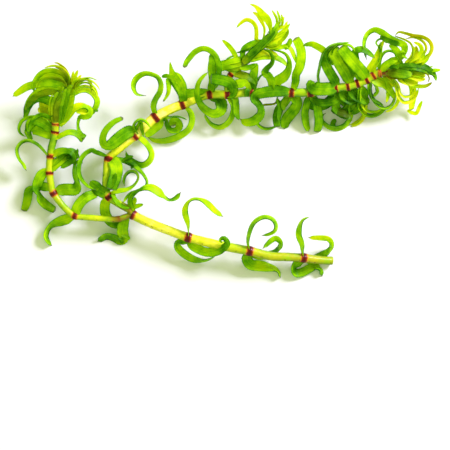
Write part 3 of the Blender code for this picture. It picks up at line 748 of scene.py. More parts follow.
def markStem(mesh, stem, line):
    # the marks that the stem's material reads, and its UV map, round and along in millimetres
    rings = rustRings(stem, line)
    marks = {"age": [], "ring": [], "side": [], "stain": [], "cut": []}
    lays = []
    for vert in mesh.vertices:
        near = nearestOn(line, vert.co)
        centre, radius, tangent = line[near]
        level = levelSide(tangent)
        away = vert.co - centre
        marks["age"].append(valueAt(stem["tone"], near / (len(line) - 1)))
        # side runs from 0 along the middle, seen from above, to 1 at the flanks, which get painted
        # shade and flecks
        marks["side"].append(min(1.0, abs(away.dot(level)) / radius))
        marks["ring"].append(rustAt(vert.co, radius, rings))
        marks["stain"].append(stainAt(vert.co, stem.get("stains", ())))
        marks["cut"].append(cutAt(vert.co, line) if stem.get("cut") else 0.0)
        around = math.atan2(away.dot(level), away.dot(level.cross(tangent)))
        lays.append((around / math.tau + 0.5, near * stemShape["spacing"] * step * 1000))
    layer = mesh.uv_layers.get("UVMap") or mesh.uv_layers.new(name="UVMap")
    for face in mesh.polygons:
        spots = [lays[mesh.loops[index].vertex_index] for index in face.loop_indices]
        wraps = max(u for u, v in spots) - min(u for u, v in spots) > 0.5
        for index, (u, v) in zip(face.loop_indices, spots):
            layer.data[index].uv = (u + 1 if wraps and u < 0.5 else u, v)
    return marks


def cutFace(tube, line):
    # the cut end has a rind, a ring of air canals and a pith
    start, thick, along = line[0]

    def pick(within, test=lambda face: True):
        # picks the faces square to the stem within a distance of its end
        bpy.ops.object.mode_set(mode="OBJECT")
        for face in tube.data.polygons:
            square = abs(face.normal.dot(along)) > stemShape["cutSquare"]
            face.select = square and (face.center - start).length < within and test(face)
        bpy.ops.object.mode_set(mode="EDIT")

    bpy.ops.object.mode_set(mode="EDIT")
    bpy.ops.mesh.select_mode(type="FACE")
    pick(thick)
    bpy.ops.mesh.dissolve_faces()
    bpy.ops.mesh.inset(thickness=thick * stemShape["cutRind"])
    bpy.ops.mesh.inset(thickness=thick * stemShape["cutPith"])
    pick(thick * (1 - stemShape["cutRind"]), lambda face: len(face.vertices) == 4)
    bpy.ops.mesh.inset(use_individual=True, thickness=thick * stemShape["cutWall"])
    bpy.ops.mesh.inset(use_individual=True, thickness=thick * stemShape["canalTaper"],
                       depth=-thick * stemShape["canalDepth"])
    bpy.ops.object.mode_set(mode="OBJECT")


def stemTube(name, stem, line):
    # a bevelled curve along the stem made a mesh, uneven as grown
    curve = bpy.data.curves.new(name, "CURVE")
    curve.dimensions = "3D"
    curve.bevel_depth = 1.0
    curve.bevel_resolution = stemShape["roundness"]
    curve.use_fill_caps = True
    spline = curve.splines.new("POLY")
    spline.points.add(len(line) - 1)
    for point, (centre, radius, tangent) in zip(spline.points, line):
        point.co = (*centre, 1)
        point.radius = radius
    tube = bpy.data.objects.new(name, curve)
    bpy.context.scene.collection.objects.link(tube)
    selectOnly(tube)
    bpy.ops.object.convert(target="MESH")
    tube = bpy.context.object
    bpy.ops.object.mode_set(mode="EDIT")
    bpy.ops.mesh.select_all(action="SELECT")
    bpy.ops.mesh.remove_doubles(threshold=step / 100)
    bpy.ops.mesh.normals_make_consistent(inside=False)
    bpy.ops.object.mode_set(mode="OBJECT")
    if stem.get("cut"):
        cutFace(tube, line)
    marks = markStem(tube.data, stem, line)
    for vert in tube.data.vertices:
        out = (vert.co - line[nearestOn(line, vert.co)][0]).normalized()
        rise = noise.noise(vert.co * stemShape["unevenScale"])
        vert.co += out * stemShape["uneven"] * rise
    dressMesh(tube, marks, stemSkin)
    bpy.ops.object.shade_smooth_by_angle(angle=smoothAngle)
    return tube


def finishPiece(piece, slot, *nodes):
    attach(piece, "root")
    if nodes:
        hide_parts(*nodes)


stemLines = [stemLine(stem) for stem in stems.values()]
for (node, stem), line in zip(stems.items(), stemLines):
    finishPiece(stemTube(node + "_skin", stem, line), "stem", node)
print("stems made", len(stems))


# Open leaves

# A blade's first values are its width in steps, its turns and its tone. Turns are degrees about
# the leaf's own line, 0 lying flat and 90 on edge, and tone runs from 0, dark, to 1, pale. Foot,
# tip and spread are shares of the width. Turns, tone, spread and stain are given at even
# stretches from foot to tip.
leaves = {
    "main_leaf_1a": blade(8, (80, 70, 45, 48, 65, 75), (0.42, 0.5), route=[
        (302.6, 255, 15), (302, 247, 20), (300.5, 241, 25), (298.7, 234, 29), (299.7, 226, 32),
        (302, 221, 33), (305, 218.5, 33), (309, 217, 32)]),
    "main_leaf_1b": blade(
        8, (15, 10, 20, 68, 50, 45, 45), (0.5, 0.4, 0.36, 0.4, 0.7, 0.78), tip=0.5, route=[
            (306, 259, 8), (312, 260.5, 2.5), (320, 257, 1), (328.5, 252, 5), (331.5, 246.5, 10),
            (330.5, 241.5, 15), (327, 238.5, 18), (320, 237.7, 19), (308, 237.8, 18)]),
    "main_leaf_1c": blade(
        8.5, (15, 15, 60, 12, 10, 12, 65, 35), (0.2, 0.24, 0.2, 0.42, 0.4, 0.3, 0.2), tip=0.6,
        route=[
            (303, 260, 11), (299, 262.5, 10), (295.5, 266, 8.5), (294, 270.5, 6), (297, 273.5, 3),
            (303, 272.5, 2), (309, 269.5, 2), (315, 266.5, 2), (319, 268, 2), (321.5, 271, 1),
            (323, 277, 0)]),
    "main_leaf_2a": blade(7.5, (74, 70, 60, 58, 58, 60, 58, 60), (0.32, 0.36, 0.3), tip=0.5, route=[
        (248.5, 249, 22), (248, 241, 27), (249.5, 232, 32), (253, 224, 36), (259, 219, 38.5),
        (266, 217.3, 39), (272.5, 219.8, 37.5), (275.5, 225.5, 35), (274, 231, 32),
        (268, 234.3, 30), (261.5, 235.5, 29)]),
    "main_leaf_2b": blade(
        8, (25, 30, 35, 58, 62, 45, 42, 45), (0.5, 0.45, 0.25, 0.45, 0.4), tip=0.4, route=[
            (251, 253, 15), (259, 256.5, 10), (267, 255, 8), (275, 251.7, 9.5), (280, 246.5, 14),
            (279.5, 241.5, 19), (275.5, 238.5, 22), (270, 241.5, 23), (262.5, 248.7, 23)]),
    "main_leaf_2c": blade(
        10.5, (30, 8, 5, 5, 20, 50, 70, 70), (0.2, 0.3, 0.5, 0.56, 0.5, 0.36), tip=0.5, foot=0.7,
        route=[
            (248.5, 255, 17), (247, 259, 14), (250.5, 264.5, 10), (258, 266, 7), (266, 267, 5),
            (273, 268.5, 3), (278.5, 272, 2), (281, 278.5, 0)]),
    "main_leaf_3a": blade(
        8, (85, 78, 48, 42, 72, 70, 42, 40, 45), (0.4, 0.5, 0.6, 0.6, 0.4, 0.6, 0.64, 0.5), tip=0.6,
        route=[
            (188.5, 234, 24), (188.2, 227, 28), (187, 220, 33), (185.3, 212, 37), (187.5, 205, 40),
            (191.5, 200.5, 42), (197, 199.3, 43), (203, 200.8, 42.5), (209, 205, 40),
            (215, 211, 37), (223.5, 217, 35)]),
    "main_leaf_3b": blade(
        9, (15, 10, 10, 15, 30, 45, 55, 60), (0.36, 0.5, 0.54, 0.5, 0.24, 0.2, 0.3), tip=0.6,
        foot=0.8, route=[
            (189, 239.5, 19), (192.5, 245.5, 17), (199, 249.5, 17), (206, 252, 18),
            (213, 252.3, 21), (220, 250.3, 26), (225.5, 246.5, 30), (227.5, 243, 32),
            (226, 239.5, 33), (223, 238, 33), (220.5, 240.5, 32), (222, 243, 31)]),
    "main_leaf_3c": blade(
        8, (30, 30, 50, 20, 15, 25, 45, 68, 74, 75), (0.24, 0.2, 0.56, 0.52, 0.44, 0.36, 0.3),
        route=[
            (186, 241, 18), (181.5, 241.5, 16.5), (177.5, 243.5, 14), (177.5, 247.5, 11),
            (182, 252.5, 9), (188.5, 257, 7), (196, 260.3, 6.5), (204, 261, 6.5), (211, 258.7, 8),
            (216, 255.3, 10)]),
    "fork_leaf_a": blade(
        8.5, (40, 45, 55, 60, 72, 50, 25, 25, 68, 72, 50, 45),
        (0.36, 0.4, 0.3, 0.2, 0.3, 0.6, 0.68, 0.62, 0.24, 0.3, 0.4), tip=0.6, route=[
            (131.5, 210, 21), (130.5, 203, 25), (132, 197, 28), (137, 192, 31), (144, 188.3, 33),
            (151, 188, 33), (157.5, 191.3, 32), (163.5, 196, 30), (168.5, 199.7, 28.5),
            (173, 199.7, 28), (177.5, 197, 28), (181, 192, 29)]),
    "fork_leaf_b": blade(
        10.5, (10, 0, 0, 10, 40, 50, 50, 50), (0.3, 0.5, 0.56, 0.4, 0.3, 0.24), tip=0.6, route=[
            (126, 218.5, 17), (123, 225, 14), (122, 232, 9), (123, 238, 4), (119, 240.3, 2.5),
            (113, 238, 1.5), (105, 236.5, 1.5), (96.5, 241.8, 0)]),
    "left_leaf_1a": blade(10, (15, 5, 5, 10, 25), (0.5, 0.5, 0.46, 0.4), tip=0.8, route=[
        (75.5, 213, 20), (77.5, 207.5, 21), (81.5, 201.5, 22), (87, 197, 22), (93, 194.5, 20),
        (97, 193.5, 19)]),
    "left_leaf_1b": blade(
        10, (20, 5, 15, 45, 66, 64, 60, 60), (0.5, 0.46, 0.36, 0.34, 0.42), tip=0.4, route=[
            (73, 216.5, 17), (66.5, 219, 14), (59, 221.5, 11), (52, 224.5, 8), (46.8, 229.5, 5),
            (44.8, 236, 3), (46.5, 241, 1.5), (50.5, 246, 0)]),
    "left_leaf_2a": blade(
        8.5, (10, 5, 5, 72, 15, 5, 10, 20), (0.5, 0.4, 0.18, 0.3, 0.42, 0.5, 0.46), tip=0.75,
        route=[
            (53, 189, 18), (46.5, 187, 16), (39.5, 186, 13), (34.5, 186.5, 10), (30.5, 187.8, 8.5),
            (27.5, 191.5, 7), (26.5, 198, 5), (24.5, 205, 2), (22, 211, 0)]),
    "left_leaf_2b": blade(
        11.5, (20, 0, 0, 20, 62, 60, 66, 68), (0.4, 0.46, 0.44, 0.3, 0.36, 0.34, 0.3), tip=0.6,
        foot=0.5, route=[
            (56.5, 192, 18), (62, 189.8, 17), (68.5, 189.5, 15.5), (75, 189.5, 14), (77, 184, 15),
            (76, 177, 17), (74.8, 169, 20), (75.5, 161, 22)]),
    "left_leaf_3a": blade(
        10, (30, 5, 5, 20, 78, 45, 30, 30, 35), (0.36, 0.4, 0.38, 0.2, 0.3, 0.4, 0.4, 0.3),
        tip=0.75, route=[
            (48, 170.5, 19), (43.5, 172.5, 20), (39.5, 178.5, 20), (37, 185.5, 18), (37, 191.5, 15),
            (39, 198, 11), (43.5, 203.5, 7.5), (49, 207.5, 5), (54.5, 210.3, 4)]),
    "left_leaf_3b": blade(8.5, (25, 15, 10, 10, 20), (0.56, 0.5, 0.3, 0.12), tip=0.8, route=[
        (51, 169.5, 21), (56, 164.8, 23), (62, 160.5, 24), (68, 156.5, 24), (73.5, 155, 22),
        (77.5, 159, 20)]),
    "left_leaf_4a": blade(
        7, (68, 68, 66, 68, 70, 70, 50), (0.36, 0.34, 0.36, 0.56), tip=0.6, route=[
            (48, 155.5, 22), (42.5, 148.5, 25), (36.5, 143.7, 28), (29, 140.6, 29),
            (22.3, 142.3, 28), (18, 147.5, 25), (17.3, 153.5, 22), (19.5, 160, 19), (23.3, 165, 17),
            (26.3, 171, 16)]),
    "left_leaf_4b": blade(
        7.5, (35, 15, 20, 35, 25, 20), (0.6, 0.62, 0.3, 0.12, 0.16, 0.24), tip=0.5,
        spread=(1, 1, 0.8, 0.6, 0.9, 0.8), route=[
            (53, 155, 22), (59, 152, 26), (66, 151, 29), (72, 153, 30), (74.5, 158.5, 28),
            (69, 163, 26), (60.5, 168.5, 25)]),
    "left_leaf_5a": blade(
        9.5, (15, 5, 5, 15, 60, 55), (0.36, 0.46, 0.5, 0.26, 0.14), tip=0.7, route=[
            (52, 136, 21), (46.5, 133.5, 21), (39.5, 131, 20), (32.5, 129.3, 18), (28.5, 131, 15),
            (28.3, 135, 12), (30.5, 140.5, 10)]),
    "left_leaf_5b": blade(6.5, (45, 40, 30, 15, 0), (0.66, 0.64, 0.4, 0.26), tip=1.4, route=[
        (57, 138, 24), (63, 134.8, 27), (70, 132.6, 28), (76, 133.4, 27), (81, 136.5, 25),
        (84.5, 139, 22)]),
    "upper_leaf_1a": blade(
        9.5, (15, 5, 5, 15, 20, 20), (0.62, 0.56, 0.5, 0.14, 0.2), tip=0.7, route=[
            (107, 199, 18), (104.7, 205, 16), (104.7, 212, 13), (107.5, 218.5, 10), (112, 223, 8),
            (119, 224.3, 7), (126, 222, 6)]),
    "upper_leaf_1b": blade(11, (20, 10, 10, 20), (0.34, 0.2, 0.3), route=[
        (107, 194.5, 22), (103, 192.5, 23), (99.5, 190.5, 22), (95, 186, 20), (90, 181, 19)]),
    "upper_leaf_1c": blade(7, (58, 58), (0.26, 0.4, 0.2), route=[
        (112.5, 194.5, 23), (115.5, 200, 27), (119.5, 204.5, 28), (124.5, 207.3, 28),
        (130.5, 208.3, 28)]),
    "upper_leaf_1d": blade(7, (50, 45, 58, 70, 72, 68, 60, 60), (0.5, 0.55, 0.4, 0.3, 0.24), route=[
        (112.5, 193, 21), (119.5, 190.8, 20), (127, 189.3, 19), (133, 186, 17), (137, 181, 14),
        (137.8, 176, 12), (135, 172, 10.5), (130, 171, 9), (125.5, 174, 8), (123.3, 179.5, 7),
        (124, 186, 6.5)]),
    "upper_leaf_2a": blade(7, (60, 55, 58, 58, 60, 58), (0.3, 0.34, 0.3), route=[
        (107, 156.5, 22), (102, 154.3, 25), (96, 152, 28), (92, 150.7, 30), (86.3, 153.5, 32),
        (81.7, 159, 33), (79.7, 166, 33), (79.8, 174, 32), (83, 181, 30), (88.5, 186.5, 29),
        (96, 190.3, 28)]),
    "upper_leaf_2b": blade(
        12, (20, 10, 5, 10, 10), (0.16, 0.56, 0.6, 0.4, 0.16, 0.12), tip=0.85, foot=0.5, route=[
            (110, 159, 22), (115, 163, 24), (116.8, 169, 25), (116, 176, 26), (113.5, 183, 27),
            (111.5, 190, 27)]),
    "upper_leaf_2c": blade(
        7.5, (30, 50, 45, 55, 66, 66, 50, 25), (0.1, 0.12, 0.16, 0.36, 0.34, 0.2, 0.2, 0.7),
        spread=(1, 1, 1, 0.7, 0.7, 0.6, 0.7, 0.7), route=[
            (110.5, 157.5, 20), (117, 159.3, 18), (124, 160.5, 16), (131, 163.5, 15),
            (138, 169, 18), (144, 175.5, 18), (147, 182, 20), (144.5, 187.5, 21),
            (138.5, 190.3, 22), (132, 192.5, 22), (127, 197, 22), (122.3, 204, 24)]),
    "upper_leaf_3a": blade(
        12, (10, 5, 5, 15, 30, 30, 25, 25, 30), (0.2, 0.3, 0.36, 0.3, 0.4, 0.52, 0.52, 0.44),
        spread=(0.8, 1, 1, 1, 0.8, 0.62, 0.56, 0.52, 0.5), tip=0.8, route=[
            (135.5, 131, 25), (128, 132.5, 29), (120, 138, 30), (112, 144.5, 30), (106, 145.5, 30),
            (103.5, 141, 32), (104.8, 134, 33.5), (109, 127.5, 34), (115.5, 122, 33.5),
            (123.8, 118.3, 32)]),
    "upper_leaf_3b": blade(
        8, (35, 45, 50, 50, 45, 45, 30, 40, 65), (0.42, 0.56, 0.52, 0.6, 0.3, 0.1, 0.3), route=[
            (137.5, 136.5, 20), (143, 140.5, 18), (148.5, 146.5, 16), (151.3, 153.5, 14),
            (149.3, 160, 12), (144, 164.3, 10), (137.5, 164.3, 9), (132, 161, 8.5),
            (127.5, 156.5, 9), (125.3, 150.5, 11)]),
    "upper_leaf_3c": blade(6, (60, 60, 62, 72), (0.3, 0.4), route=[
        (136.5, 133, 25), (134.3, 127, 29), (136.5, 122.5, 32), (141, 120.3, 33),
        (146.3, 122.3, 32), (151.5, 129, 30)]),
    "upper_leaf_4a": blade(
        8, (35, 40, 48, 48, 56, 64, 60, 50, 48, 60, 76), (0.3, 0.36, 0.42, 0.4, 0.46, 0.42, 0.2),
        route=[
            (155, 113, 25), (154, 106.5, 29), (156.3, 99.5, 33), (160.3, 92.5, 36),
            (161.5, 85.5, 38), (159, 78.7, 39), (153.5, 75.5, 39), (146, 74.5, 38), (139, 77.5, 36),
            (134.5, 83, 34), (134, 89.5, 32), (137.5, 95, 31), (146.5, 96.3, 31)]),
    "upper_leaf_4b": blade(8.5, (20, 15, 15), (0.6, 0.56, 0.5), tip=0.4, foot=0.5, route=[
        (159, 120.5, 19), (159, 124.5, 17), (154, 128.5, 15), (149.5, 132.5, 14),
        (145, 136.5, 13)]),
    "upper_leaf_4c": blade(6.5, (25, 50, 74, 76, 76), (0.66, 0.24, 0.2), route=[
        (159, 118.5, 20), (165, 117, 20), (170, 117.8, 21), (178, 116.7, 23), (187, 120, 24)]),
    "upper_leaf_4d": blade(
        7.5, (40, 60, 60, 50, 45, 30, 10, 0, 0), (0.5, 0.2, 0.2, 0.36, 0.4, 0.5), tip=0.9, route=[
            (160, 120, 18), (165, 119.5, 17), (167, 124.5, 14), (170, 130, 11), (176, 130, 10),
            (179.3, 125.5, 11), (176.5, 121, 13), (172.5, 121.5, 15), (173.5, 126, 17)]),
    "upper_leaf_5a": blade(
        9.5, (20, 5, 0, 15, 30, 45), (0.3, 0.3, 0.46, 0.4, 0.6, 0.66), tip=0.35,
        spread=(0.9, 0.9, 0.8, 0.9, 0.9, 0.6, 0.4), route=[
            (183.5, 101, 27.5), (182.7, 95, 31), (180.5, 89, 34), (177, 83, 37), (173.7, 77, 39),
            (171.7, 71, 39), (170.3, 62.5, 38)]),
    "upper_leaf_5b": blade(
        8.5, (48, 50, 48, 45, 45, 48, 60), (0.3, 0.5, 0.56, 0.54, 0.6, 0.5), tip=0.4, route=[
            (186.5, 107.5, 21), (190.7, 113, 19), (191.7, 120.5, 16), (188.7, 128.5, 13),
            (181.5, 134.5, 10), (172, 138.3, 8), (162.5, 140.5, 5), (154, 139.8, 2),
            (147, 136.5, 0)]),
    "upper_leaf_6a": blade(
        10.5, (10, 0, 0, 5, 45, 58, 40, 45, 45, 50),
        (0.14, 0.34, 0.44, 0.36, 0.2, 0.2, 0.5, 0.5, 0.4),
        spread=(1, 1, 1, 1, 0.8, 0.6, 0.6, 0.45, 0.25), tip=0.8, route=[
            (206, 93, 27), (198, 94, 27), (190, 94.5, 26), (183, 93.5, 24), (177.5, 88.5, 23),
            (172, 82.5, 23), (168.5, 80, 23.5), (168.7, 87, 24), (168, 94, 25), (163.3, 102, 26)]),
    "upper_leaf_6b": blade(
        8, (50, 50, 50, 54, 56, 50, 48), (0.3, 0.34, 0.34, 0.42, 0.5, 0.5, 0.36), tip=0.75, route=[
            (213.5, 89, 27), (217.3, 83, 32), (218.8, 75, 37), (218.8, 66, 41), (216, 57.5, 43),
            (210, 52, 44), (203, 50.3, 43), (195.5, 53, 41), (190, 58.5, 38), (186.5, 63.5, 36),
            (184.5, 68.8, 34)]),
    "upper_leaf_6c": blade(
        10, (20, 5, 10, 30, 30, 35, 45, 50, 45, 45, 50),
        (0.12, 0.12, 0.36, 0.44, 0.4, 0.36, 0.44, 0.5, 0.54),
        spread=(0.8, 1.15, 1.1, 0.9, 0.85, 0.8, 0.75, 0.75, 0.8), route=[
            (212, 98, 21), (217.5, 99, 20), (221.5, 104, 19), (220.5, 110.5, 19), (214, 113.5, 20),
            (206.5, 110.5, 24), (201, 105, 29), (198, 98, 34), (197.5, 90, 37), (199.5, 82.5, 39),
            (204, 77, 39.5), (209, 72.8, 39)]),
    "upper_leaf_7a": blade(
        10.5, (20, 20, 20, 10, 5, 5), (0.14, 0.2, 0.3, 0.28, 0.2, 0.04), tip=0.95, route=[
            (229, 95, 27), (232.3, 93, 29.5), (232.5, 88, 33.5), (230, 84, 37), (224.5, 82, 39.5),
            (217, 80.5, 41), (210.5, 80, 41)]),
    "upper_leaf_7b": blade(
        8, (45, 48, 50, 52, 60, 62), (0.3, 0.4, 0.46, 0.4, 0.36), tip=0.4, route=[
            (229.5, 99, 22), (232.5, 104, 20), (233.3, 111, 17), (230.5, 119, 14), (225, 124.5, 12),
            (218.5, 126.8, 11), (211.5, 124, 11), (206, 117, 12), (204.5, 113, 13)]),
    "upper_leaf_8b": blade(8.5, (20, 15, 30), (0.3, 0.16, 0.44, 0.44), route=[
        (252, 89, 27), (253.5, 82, 31), (253.5, 76, 34), (255, 69.5, 36), (257, 64, 36)]),
    "upper_leaf_8c": blade(6, (66, 66, 60, 58), (0.4, 0.3, 0.38), route=[
        (253, 96.5, 20), (258, 103.5, 14), (260, 111, 8), (257, 118, 5), (257.7, 123.3, 3),
        (262, 127, 2), (268, 128.2, 2), (274.5, 126.5, 4), (279, 123, 7)]),
    "upper_leaf_9a": blade(
        10, (20, 5, 15, 48, 60, 68, 72), (0.5, 0.56, 0.5, 0.34, 0.3, 0.3), tip=0.4,
        spread=(1, 1, 1, 0.9, 0.6, 0.5, 0.5), route=[
            (273.5, 88, 26), (277, 82, 30), (283.5, 77.7, 34.5), (288.3, 71, 38), (289, 63, 40),
            (285.5, 56, 41), (279, 52.5, 41), (271, 51.5, 40)]),
    "upper_leaf_9b": blade(
        8, (35, 35, 25, 25, 40, 50, 60, 70), (0.55, 0.5, 0.3, 0.14, 0.24, 0.16), tip=0.4,
        spread=(1, 1, 1, 0.9, 0.8, 0.7, 0.6, 0.5), route=[
            (271.5, 89, 28), (271.3, 83, 32), (268.5, 77, 35), (264.5, 74, 36.5), (267, 69.5, 38),
            (271.5, 64.5, 39), (272.3, 58.5, 39), (269, 53, 39), (263, 50.5, 38)]),
    "upper_leaf_10a": blade(
        11, (0, 0, 0, 5, 15, 35, 35, 30, 25, 20, 25, 30),
        (0.1, 0.12, 0.3, 0.34, 0.2, 0.1, 0.24, 0.34, 0.54, 0.54),
        spread=(0.7, 1, 1, 1, 0.95, 0.9, 0.75, 0.7, 0.9, 1, 1, 0.8), tip=0.5, route=[
            (289.5, 92, 27), (282, 91.5, 29), (273, 91.8, 30), (264, 93, 30), (256, 95.5, 29),
            (254, 99.5, 27), (258, 104, 25), (260.8, 109, 22), (260, 115, 18), (254, 120.5, 15),
            (246, 122, 12), (239.5, 118, 10)]),
    "upper_leaf_10b": blade(
        9, (35, 38, 34, 10, 5, 5, 10), (0.4, 0.34, 0.4, 0.56, 0.6, 0.5), tip=0.9, route=[
            (293.5, 88, 27), (295.5, 82, 31), (295.8, 75, 34), (299, 68.5, 36), (300.7, 60, 37),
            (300.5, 52, 37), (298, 44.5, 36.5), (294.5, 39, 36)]),
    "upper_leaf_10c": blade(10.5, (30, 15, 5, 5, 10), (0.36, 0.32, 0.3, 0.34), tip=0.6, route=[
        (293.5, 97, 21), (297, 102, 17.5), (295, 108.5, 13), (290, 114.5, 9), (286, 120.5, 4),
        (285, 128.5, 0)]),
    "upper_leaf_10d": blade(8.5, (30, 20, 15), (0.34, 0.2, 0.14), tip=0.7, route=[
        (288, 97.5, 21), (284, 103, 18), (279, 109, 15), (277, 117, 11), (277.3, 127, 8)]),
    "upper_leaf_11a": blade(8, (35, 28, 25, 30), (0.2, 0.3, 0.36, 0.3), tip=0.6, route=[
        (309, 97, 21), (306.7, 104, 17), (305.3, 112, 12), (306, 121, 6), (309.5, 131, 1)]),
    "upper_leaf_11b": blade(9, (30, 20, 20, 25), (0.16, 0.24, 0.28, 0.22), tip=0.8, route=[
        (312, 97, 21), (317, 105, 17), (318.5, 114, 12), (319.3, 123, 7), (317.5, 131.5, 2)]),
    "upper_leaf_11c": blade(6, (70, 70, 70, 64), (0.36, 0.3, 0.44), route=[
        (313, 89, 24), (318, 83, 25), (318, 76, 28), (319, 69, 34), (320, 62, 41), (323, 54.5, 45),
        (329, 48.3, 48), (336, 45.6, 47.5), (342, 45, 46), (349, 43.7, 44)]),
}

smallLeaves = {
    "upper_leaf_5c": blade(9, (15, 5), (0.36, 0.62, 0.66), foot=0.9, tip=0.2, route=[
        (183, 92, 33), (182.3, 87, 35), (180, 82, 37), (177, 77.5, 38), (173.5, 73.5, 38)]),
    "upper_leaf_5d": blade(4.5, (30, 30), (0.5, 0.4, 0.2), route=[
        (175, 80.5, 38), (171, 78.3, 39.5), (167, 77, 39.5), (162, 78, 38)]),
    "fork_leaf_c": blade(4.5, (20, 20), (0.4, 0.5), route=[
        (131, 214, 18), (131, 208.5, 20), (136, 206.5, 21), (143.5, 204.3, 22)]),
    "fork_leaf_d": blade(5, (20, 30), (0.66, 0.6), route=[
        (133, 211, 20), (133.5, 204, 22), (135, 200, 23), (134.5, 197, 24)]),
    "upper_leaf_3d": blade(3.5, (30, 30), (0.36, 0.3), route=[
        (134, 133, 24), (138, 126, 27), (141, 122.5, 28), (142, 129, 27), (144, 137, 24)]),
    "upper_leaf_6d": blade(8, (30, 30, 10, 15, 40), (0.3, 0.4, 0.46, 0.2), route=[
        (210, 94, 25), (211.5, 87, 29), (213, 79, 32), (211.8, 71, 35), (212, 63, 36),
        (210.3, 54.5, 36)]),
    "upper_leaf_7c": blade(7, (20, 25, 30), (0.24, 0.3, 0.36, 0.2), route=[
        (229, 95, 24), (234.5, 98, 23), (236, 105, 20), (236.3, 112, 18), (239, 120, 16)]),
    "upper_leaf_8a": blade(
        9.5, (15, 10), (0.6, 0.56, 0.5), tip=0.8, spread=(0.4, 0.45, 0.7, 1, 1), route=[
            (250.3, 91.5, 27), (248.3, 87, 31), (245, 84, 34.5), (240, 84.2, 35.5),
            (235, 84.7, 35)]),
    "upper_leaf_8d": blade(5, (10, 5), (0.3, 0.2, 0.1), tip=1.0, route=[
        (250.5, 88.5, 27), (248.3, 89.5, 29), (247, 92, 29.7), (247, 97, 28.5)]),
    "upper_leaf_9c": blade(3, (50, 60), (0.2, 0.14), route=[
        (254, 88, 28), (257, 82, 31), (260, 77.5, 34), (263.5, 74, 36)]),
    "upper_leaf_9d": blade(3, (60, 60), (0.3, 0.3), stain=(0.4, 0.4), route=[
        (277.5, 97, 20), (275.5, 103, 17), (269, 104.3, 16), (263, 105, 15), (258, 108, 15)]),
    "upper_leaf_10e": blade(5.5, (15, 15), (0.4, 0.36), stain=(0.2, 0.1), route=[
        (287, 95, 22), (285.5, 100, 20), (283.5, 104.5, 18), (284, 110.5, 16)]),
    "upper_leaf_10f": blade(5, (30, 30), (0.3, 0.26), route=[
        (277, 99, 20), (279.5, 106, 18), (279, 114, 16), (279, 121, 12)]),
    "upper_leaf_12a": blade(4, (50, 50, 40), (0.3, 0.4, 0.5), route=[
        (331, 86, 27), (329, 70, 34), (330, 55, 42), (334, 48, 45), (341, 46, 46.5),
        (349, 47.5, 45), (353.5, 52, 43), (356, 58, 41)]),
    "upper_leaf_12b": blade(7, (30, 20, 15), (0.34, 0.26, 0.3, 0.36), route=[
        (358, 82, 28), (356, 66, 38), (354, 54, 43), (360, 51, 44), (366, 53.5, 43),
        (374, 59.5, 41)]),
    "fork_leaf_e": blade(4, (20, 20), (0.3, 0.2), route=[
        (118, 237, 6), (121, 239.5, 5), (121.5, 244, 2)]),
    "fork_leaf_f": blade(4, (20, 20), (0.4, 0.3), route=[
        (121, 235, 7), (125.5, 236.3, 6), (129.5, 239.5, 4)]),
    "upper_leaf_1e": blade(4, (20, 20), (0.3, 0.2), route=[
        (98, 190, 22), (94, 186, 22), (90.5, 182, 22)]),
    "upper_leaf_1f": blade(5, (20, 20), (0.2, 0.2, 0.3), route=[
        (107, 190, 25), (112, 185, 27), (115, 178, 28), (116, 173, 29)]),
    "upper_leaf_2d": blade(3.5, (20, 20), (0.12, 0.1), route=[
        (123, 160.5, 18), (128, 157.5, 20), (133.5, 156.3, 21)]),
    "upper_leaf_2e": blade(4, (20, 20), (0.12, 0.16), route=[
        (126, 161, 18), (131, 162, 20), (137, 165.5, 20)]),
    "upper_leaf_2f": blade(3, (20, 20), (0.12, 0.1), route=[
        (129, 161.5, 18), (132, 164.5, 19), (131.5, 169, 18)]),
    "left_leaf_5c": blade(3.5, (10, 0), (0.3, 0.2), route=[
        (78, 136, 25), (80.5, 138.5, 24), (82, 142.3, 22)]),
    "left_leaf_5d": blade(3.5, (10, 0), (0.3, 0.2), route=[
        (80, 136, 25), (83, 136.3, 24), (86.5, 135.5, 23)]),
    "left_leaf_3f": blade(4, (10, 0), (0.2, 0.1), route=[
        (72, 156, 27), (70.5, 152.5, 28), (67.5, 148.3, 28)]),
    "left_leaf_3c": blade(6, (20, 25), (0.4, 0.2, 0.1), route=[
        (51, 166, 21), (60, 158, 24), (68, 151.5, 25), (74.5, 152, 23), (79.5, 159, 21)]),
    "left_leaf_3d": blade(5, (20, 25), (0.3, 0.12, 0.1), tip=0.1, route=[
        (60, 160, 22), (67, 157, 24), (73, 156, 25), (77, 152.5, 25), (78, 148.5, 24)]),
    "left_leaf_3e": blade(4, (20, 25), (0.3, 0.12, 0.1), route=[
        (62, 163, 22), (69, 161.5, 24), (75, 162.5, 24), (80, 161.5, 23), (83, 163.5, 22)]),
}


def footOnStem(leaf):
    # the leaf with its foot moved in to the stem that carries it
    foot = place(*leaf["route"][0])
    centre, radius, tangent = min((line[nearestOn(line, foot)] for line in stemLines),
                                  key=lambda spot: (spot[0] - foot).length)
    if (foot - centre).length < radius * leafShape["footReach"]:
        return leaf
    start = onGrid(centre.lerp(foot, leafShape["footSink"]))
    return {**leaf, "route": [start] + leaf["route"]}


for node, leaf in leaves.items():
    piece = layLeaf(node + "_blade", footOnStem(leaf), oldBlade)
    finishPiece(piece, "leaf", node)
print("open leaves made", len(leaves))

for name, leaf in smallLeaves.items():
    finishPiece(layLeaf(name, leaf, oldBlade), "leaf")
print("small leaves made", len(smallLeaves))


# Crowns

sheathShape = {
    "points": 6,               # of each young leaf's route
    "turn": 137.5,             # degrees from one leaf to the next
    "turnSwing": (-15, 15),
    "lengthSwing": (0.85, 1.15),
    "flareSwing": (0.6, 1.4),
    "flareCurve": 2.2,
    "footDepth": 0.3,          # of the tip's radius
    "palerTip": 0.12,
}

